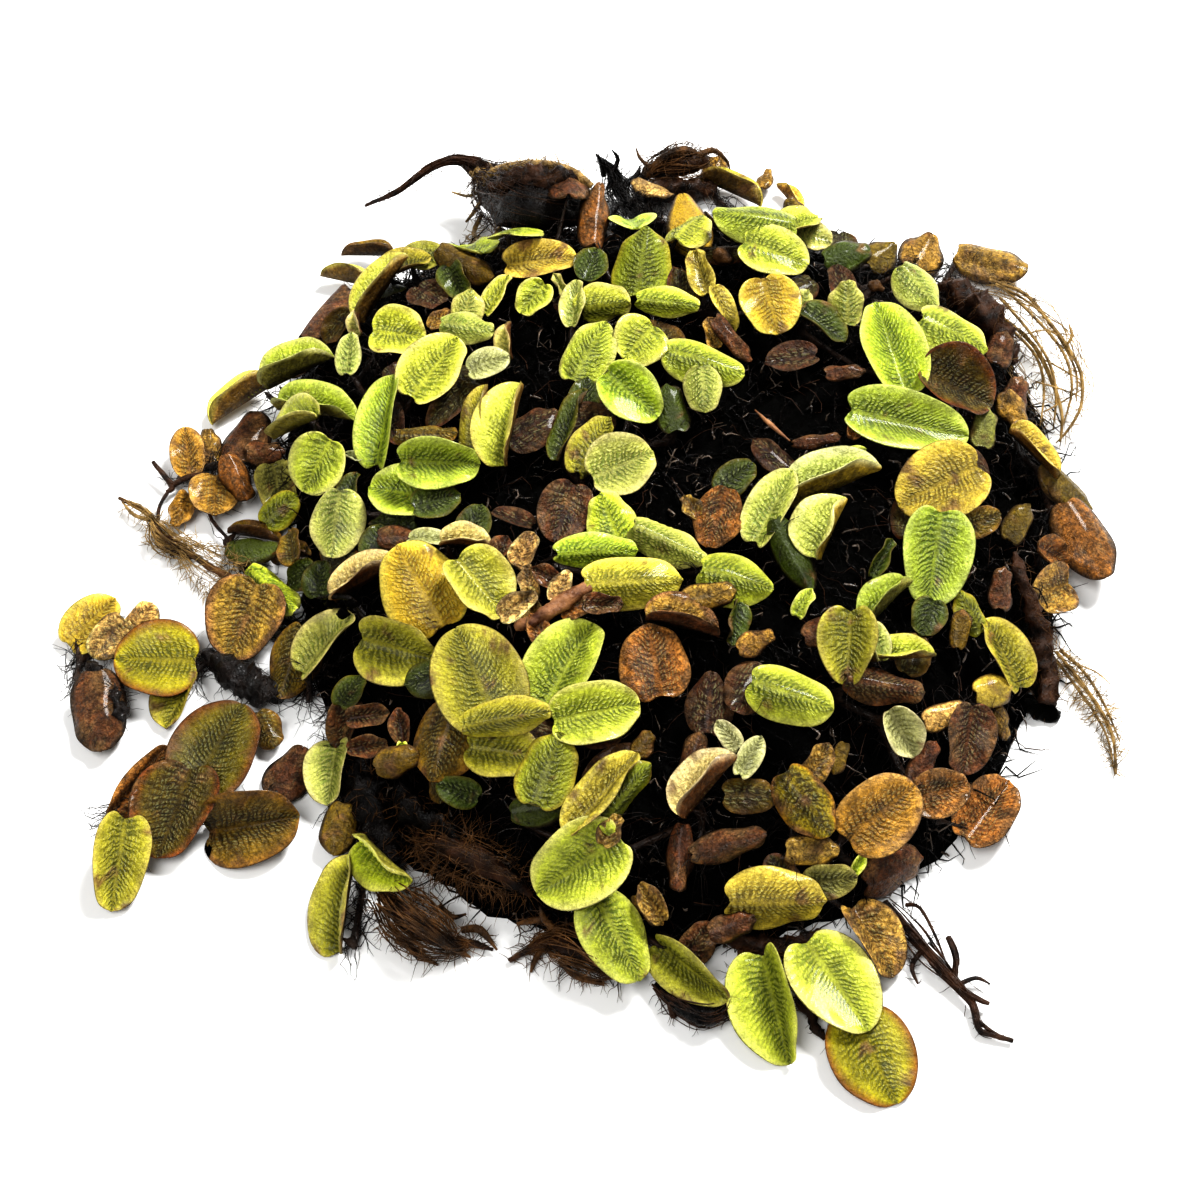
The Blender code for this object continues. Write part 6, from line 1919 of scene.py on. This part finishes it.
def add_roots(strands, threads, finishes):
    """The roots and twigs that trail from the heap."""
    for number, name in enumerate(ROOTS):
        core, count, thick, inner, hair_count, hair_length, lean, colour, hair_colour = ROOT_LOOKS[name]
        meshes, lines = [], []
        for rows in (ROOTS[name], *SIDE_TWIGS.get(name, [])):
            route = root_route(rows)
            meshes.append(core_mesh(route, lambda radius: core_share(core, radius), finishes[colour]))
            lines += bundle(route, count, thick * MM, inner, 1.0, number)
        for rows in MASSES.get(name, []):
            mass = mass_mesh(rows, finishes[MASS_COLOURS.get(name, "umber")])
            meshes += [mass, hairy(strands, mass, *MASS_HAIRS, 50 + number, finishes["old"])]
        if lines:
            settings = {"Sides": 4, "Material": finishes[hair_colour]}
            meshes.append(run_tree(threads, thread_mesh(lines), settings))
        routes = [root_route(rows, 4) for rows in EXTRA_TWIGS.get(name, [])]
        twigs = [[(resting(point, radius), radius) for point, radius in route] for route in routes]
        if twigs:
            finish = finishes[TWIG_COLOURS.get(name, hair_colour)]
            limbs = run_tree(threads, thread_mesh(twigs), {"Sides": 7, "Material": finish})
            meshes.append(limbs)
            if hair_count:
                meshes.append(hairy(strands, limbs, *TWIG_HAIRS, 30 + number, finish))
        if hair_count:
            hairs = (hair_count * 1000.0, hair_length * MM, lean, 5 + number, finishes[hair_colour])
            meshes.append(hairy(strands, mesh_of(merged_shape(name), name), *hairs))
        piece = joined(f"{name}_strands", meshes)
        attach(piece, "root")
        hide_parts(name)


def add_bits(finishes):
    """Bits of stem, old root and the bead-like spore cases among the leaves."""
    meshes = []
    for colour, rows in BITS:
        knots = []
        for across, down, radius, height in rows:
            spot = place_on_heap(across, down, lambda x, y: height * MM)
            knots.append((spot, radius * MM))
        meshes.append(core_mesh(smooth_route(knots, 8), lambda radius: 1.0, finishes[colour]))
    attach(joined("small_bits", meshes), "root")


def add_stage():
    """The pale surface under the heap and the light."""
    reach = FLOOR_REACH
    mesh = bpy.data.meshes.new("floor")
    corners = [(-reach, -reach, 0), (reach, -reach, 0), (reach, reach, 0), (-reach, reach, 0)]
    mesh.from_pydata(corners, [], [(0, 1, 2, 3)])
    paper = bpy.data.materials.new("paper")
    paper.use_nodes = True
    paper.node_tree.nodes["Principled BSDF"].inputs["Base Color"].default_value = PAPER_COLOUR
    paper.node_tree.nodes["Principled BSDF"].inputs["Roughness"].default_value = 0.8
    mesh.materials.append(paper)
    floor = new_object("floor", mesh)

    world = bpy.data.worlds.new("room")
    bpy.context.scene.world = world
    world.use_nodes = True
    world.node_tree.nodes["Background"].inputs["Color"].default_value = ROOM_COLOUR
    world.node_tree.nodes["Background"].inputs["Strength"].default_value = ROOM_LIGHT

    for label, (place, size, power) in LAMPS.items():
        light = bpy.data.lights.new(label, "AREA")
        light.size = size
        light.energy = power
        lamp = new_object(label, light)
        lamp.location = place
        lamp.rotation_euler = (-Vector(place)).to_track_quat("-Z", "Y").to_euler()


def add_camera():
    """The camera that sees the heap as the leaves' places were measured."""
    data = bpy.data.cameras.new("camera")
    data.sensor_width = SENSOR
    data.lens = SENSOR / 2 / (VIEW_MIDDLE * VIEW_PIXEL / VIEW_DISTANCE)
    data.clip_start = 0.01
    camera = new_object("camera", data)
    turn = VIEW_FORWARD.to_track_quat("-Z", "Y").to_matrix().to_4x4()
    camera.matrix_world = Matrix.Translation(VIEW_EYE) @ turn
    bpy.context.scene.camera = camera


def main():
    finishes = {
        "leaf": leaf_finish(),
        "black": root_finish("wet root", "010100", "030201", 0.03, 0.1, 0.3),
        "tangle": root_finish("dark root", "020101", "120a05", 0.2, 0.12, 0.4),
        # Pale streaks on these strands are painted highlights for glints, over real shine
        "glossy": root_finish("glossy root", "040302", "7a6a5c", 0.8, 0.08, 0.3),
        "umber": root_finish("umber root", "140b06", "4a2f1c", 0.25),
        "old": root_finish("brown root", "2a1c0f", "73522f", 0.25),
        "golden": root_finish("golden root", "54401e", "bd9c60"),
        "stem": root_finish("pinkish stem", "4a2816", "b5845a", 0.4),
    }
    placed, matched, others = place_all_leaves()
    old = old_leaves(others)
    strands = strands_tree()
    add_sprigs(placed, matched, finishes["leaf"], strands)
    add_mound(strands, finishes, old)
    add_roots(strands, threads_tree(), finishes)
    add_bits(finishes)
    add_stage()
    add_camera()
    bpy.context.scene.view_settings.view_transform = "Standard"
    bpy.context.scene.view_settings.look = "High Contrast"


main()
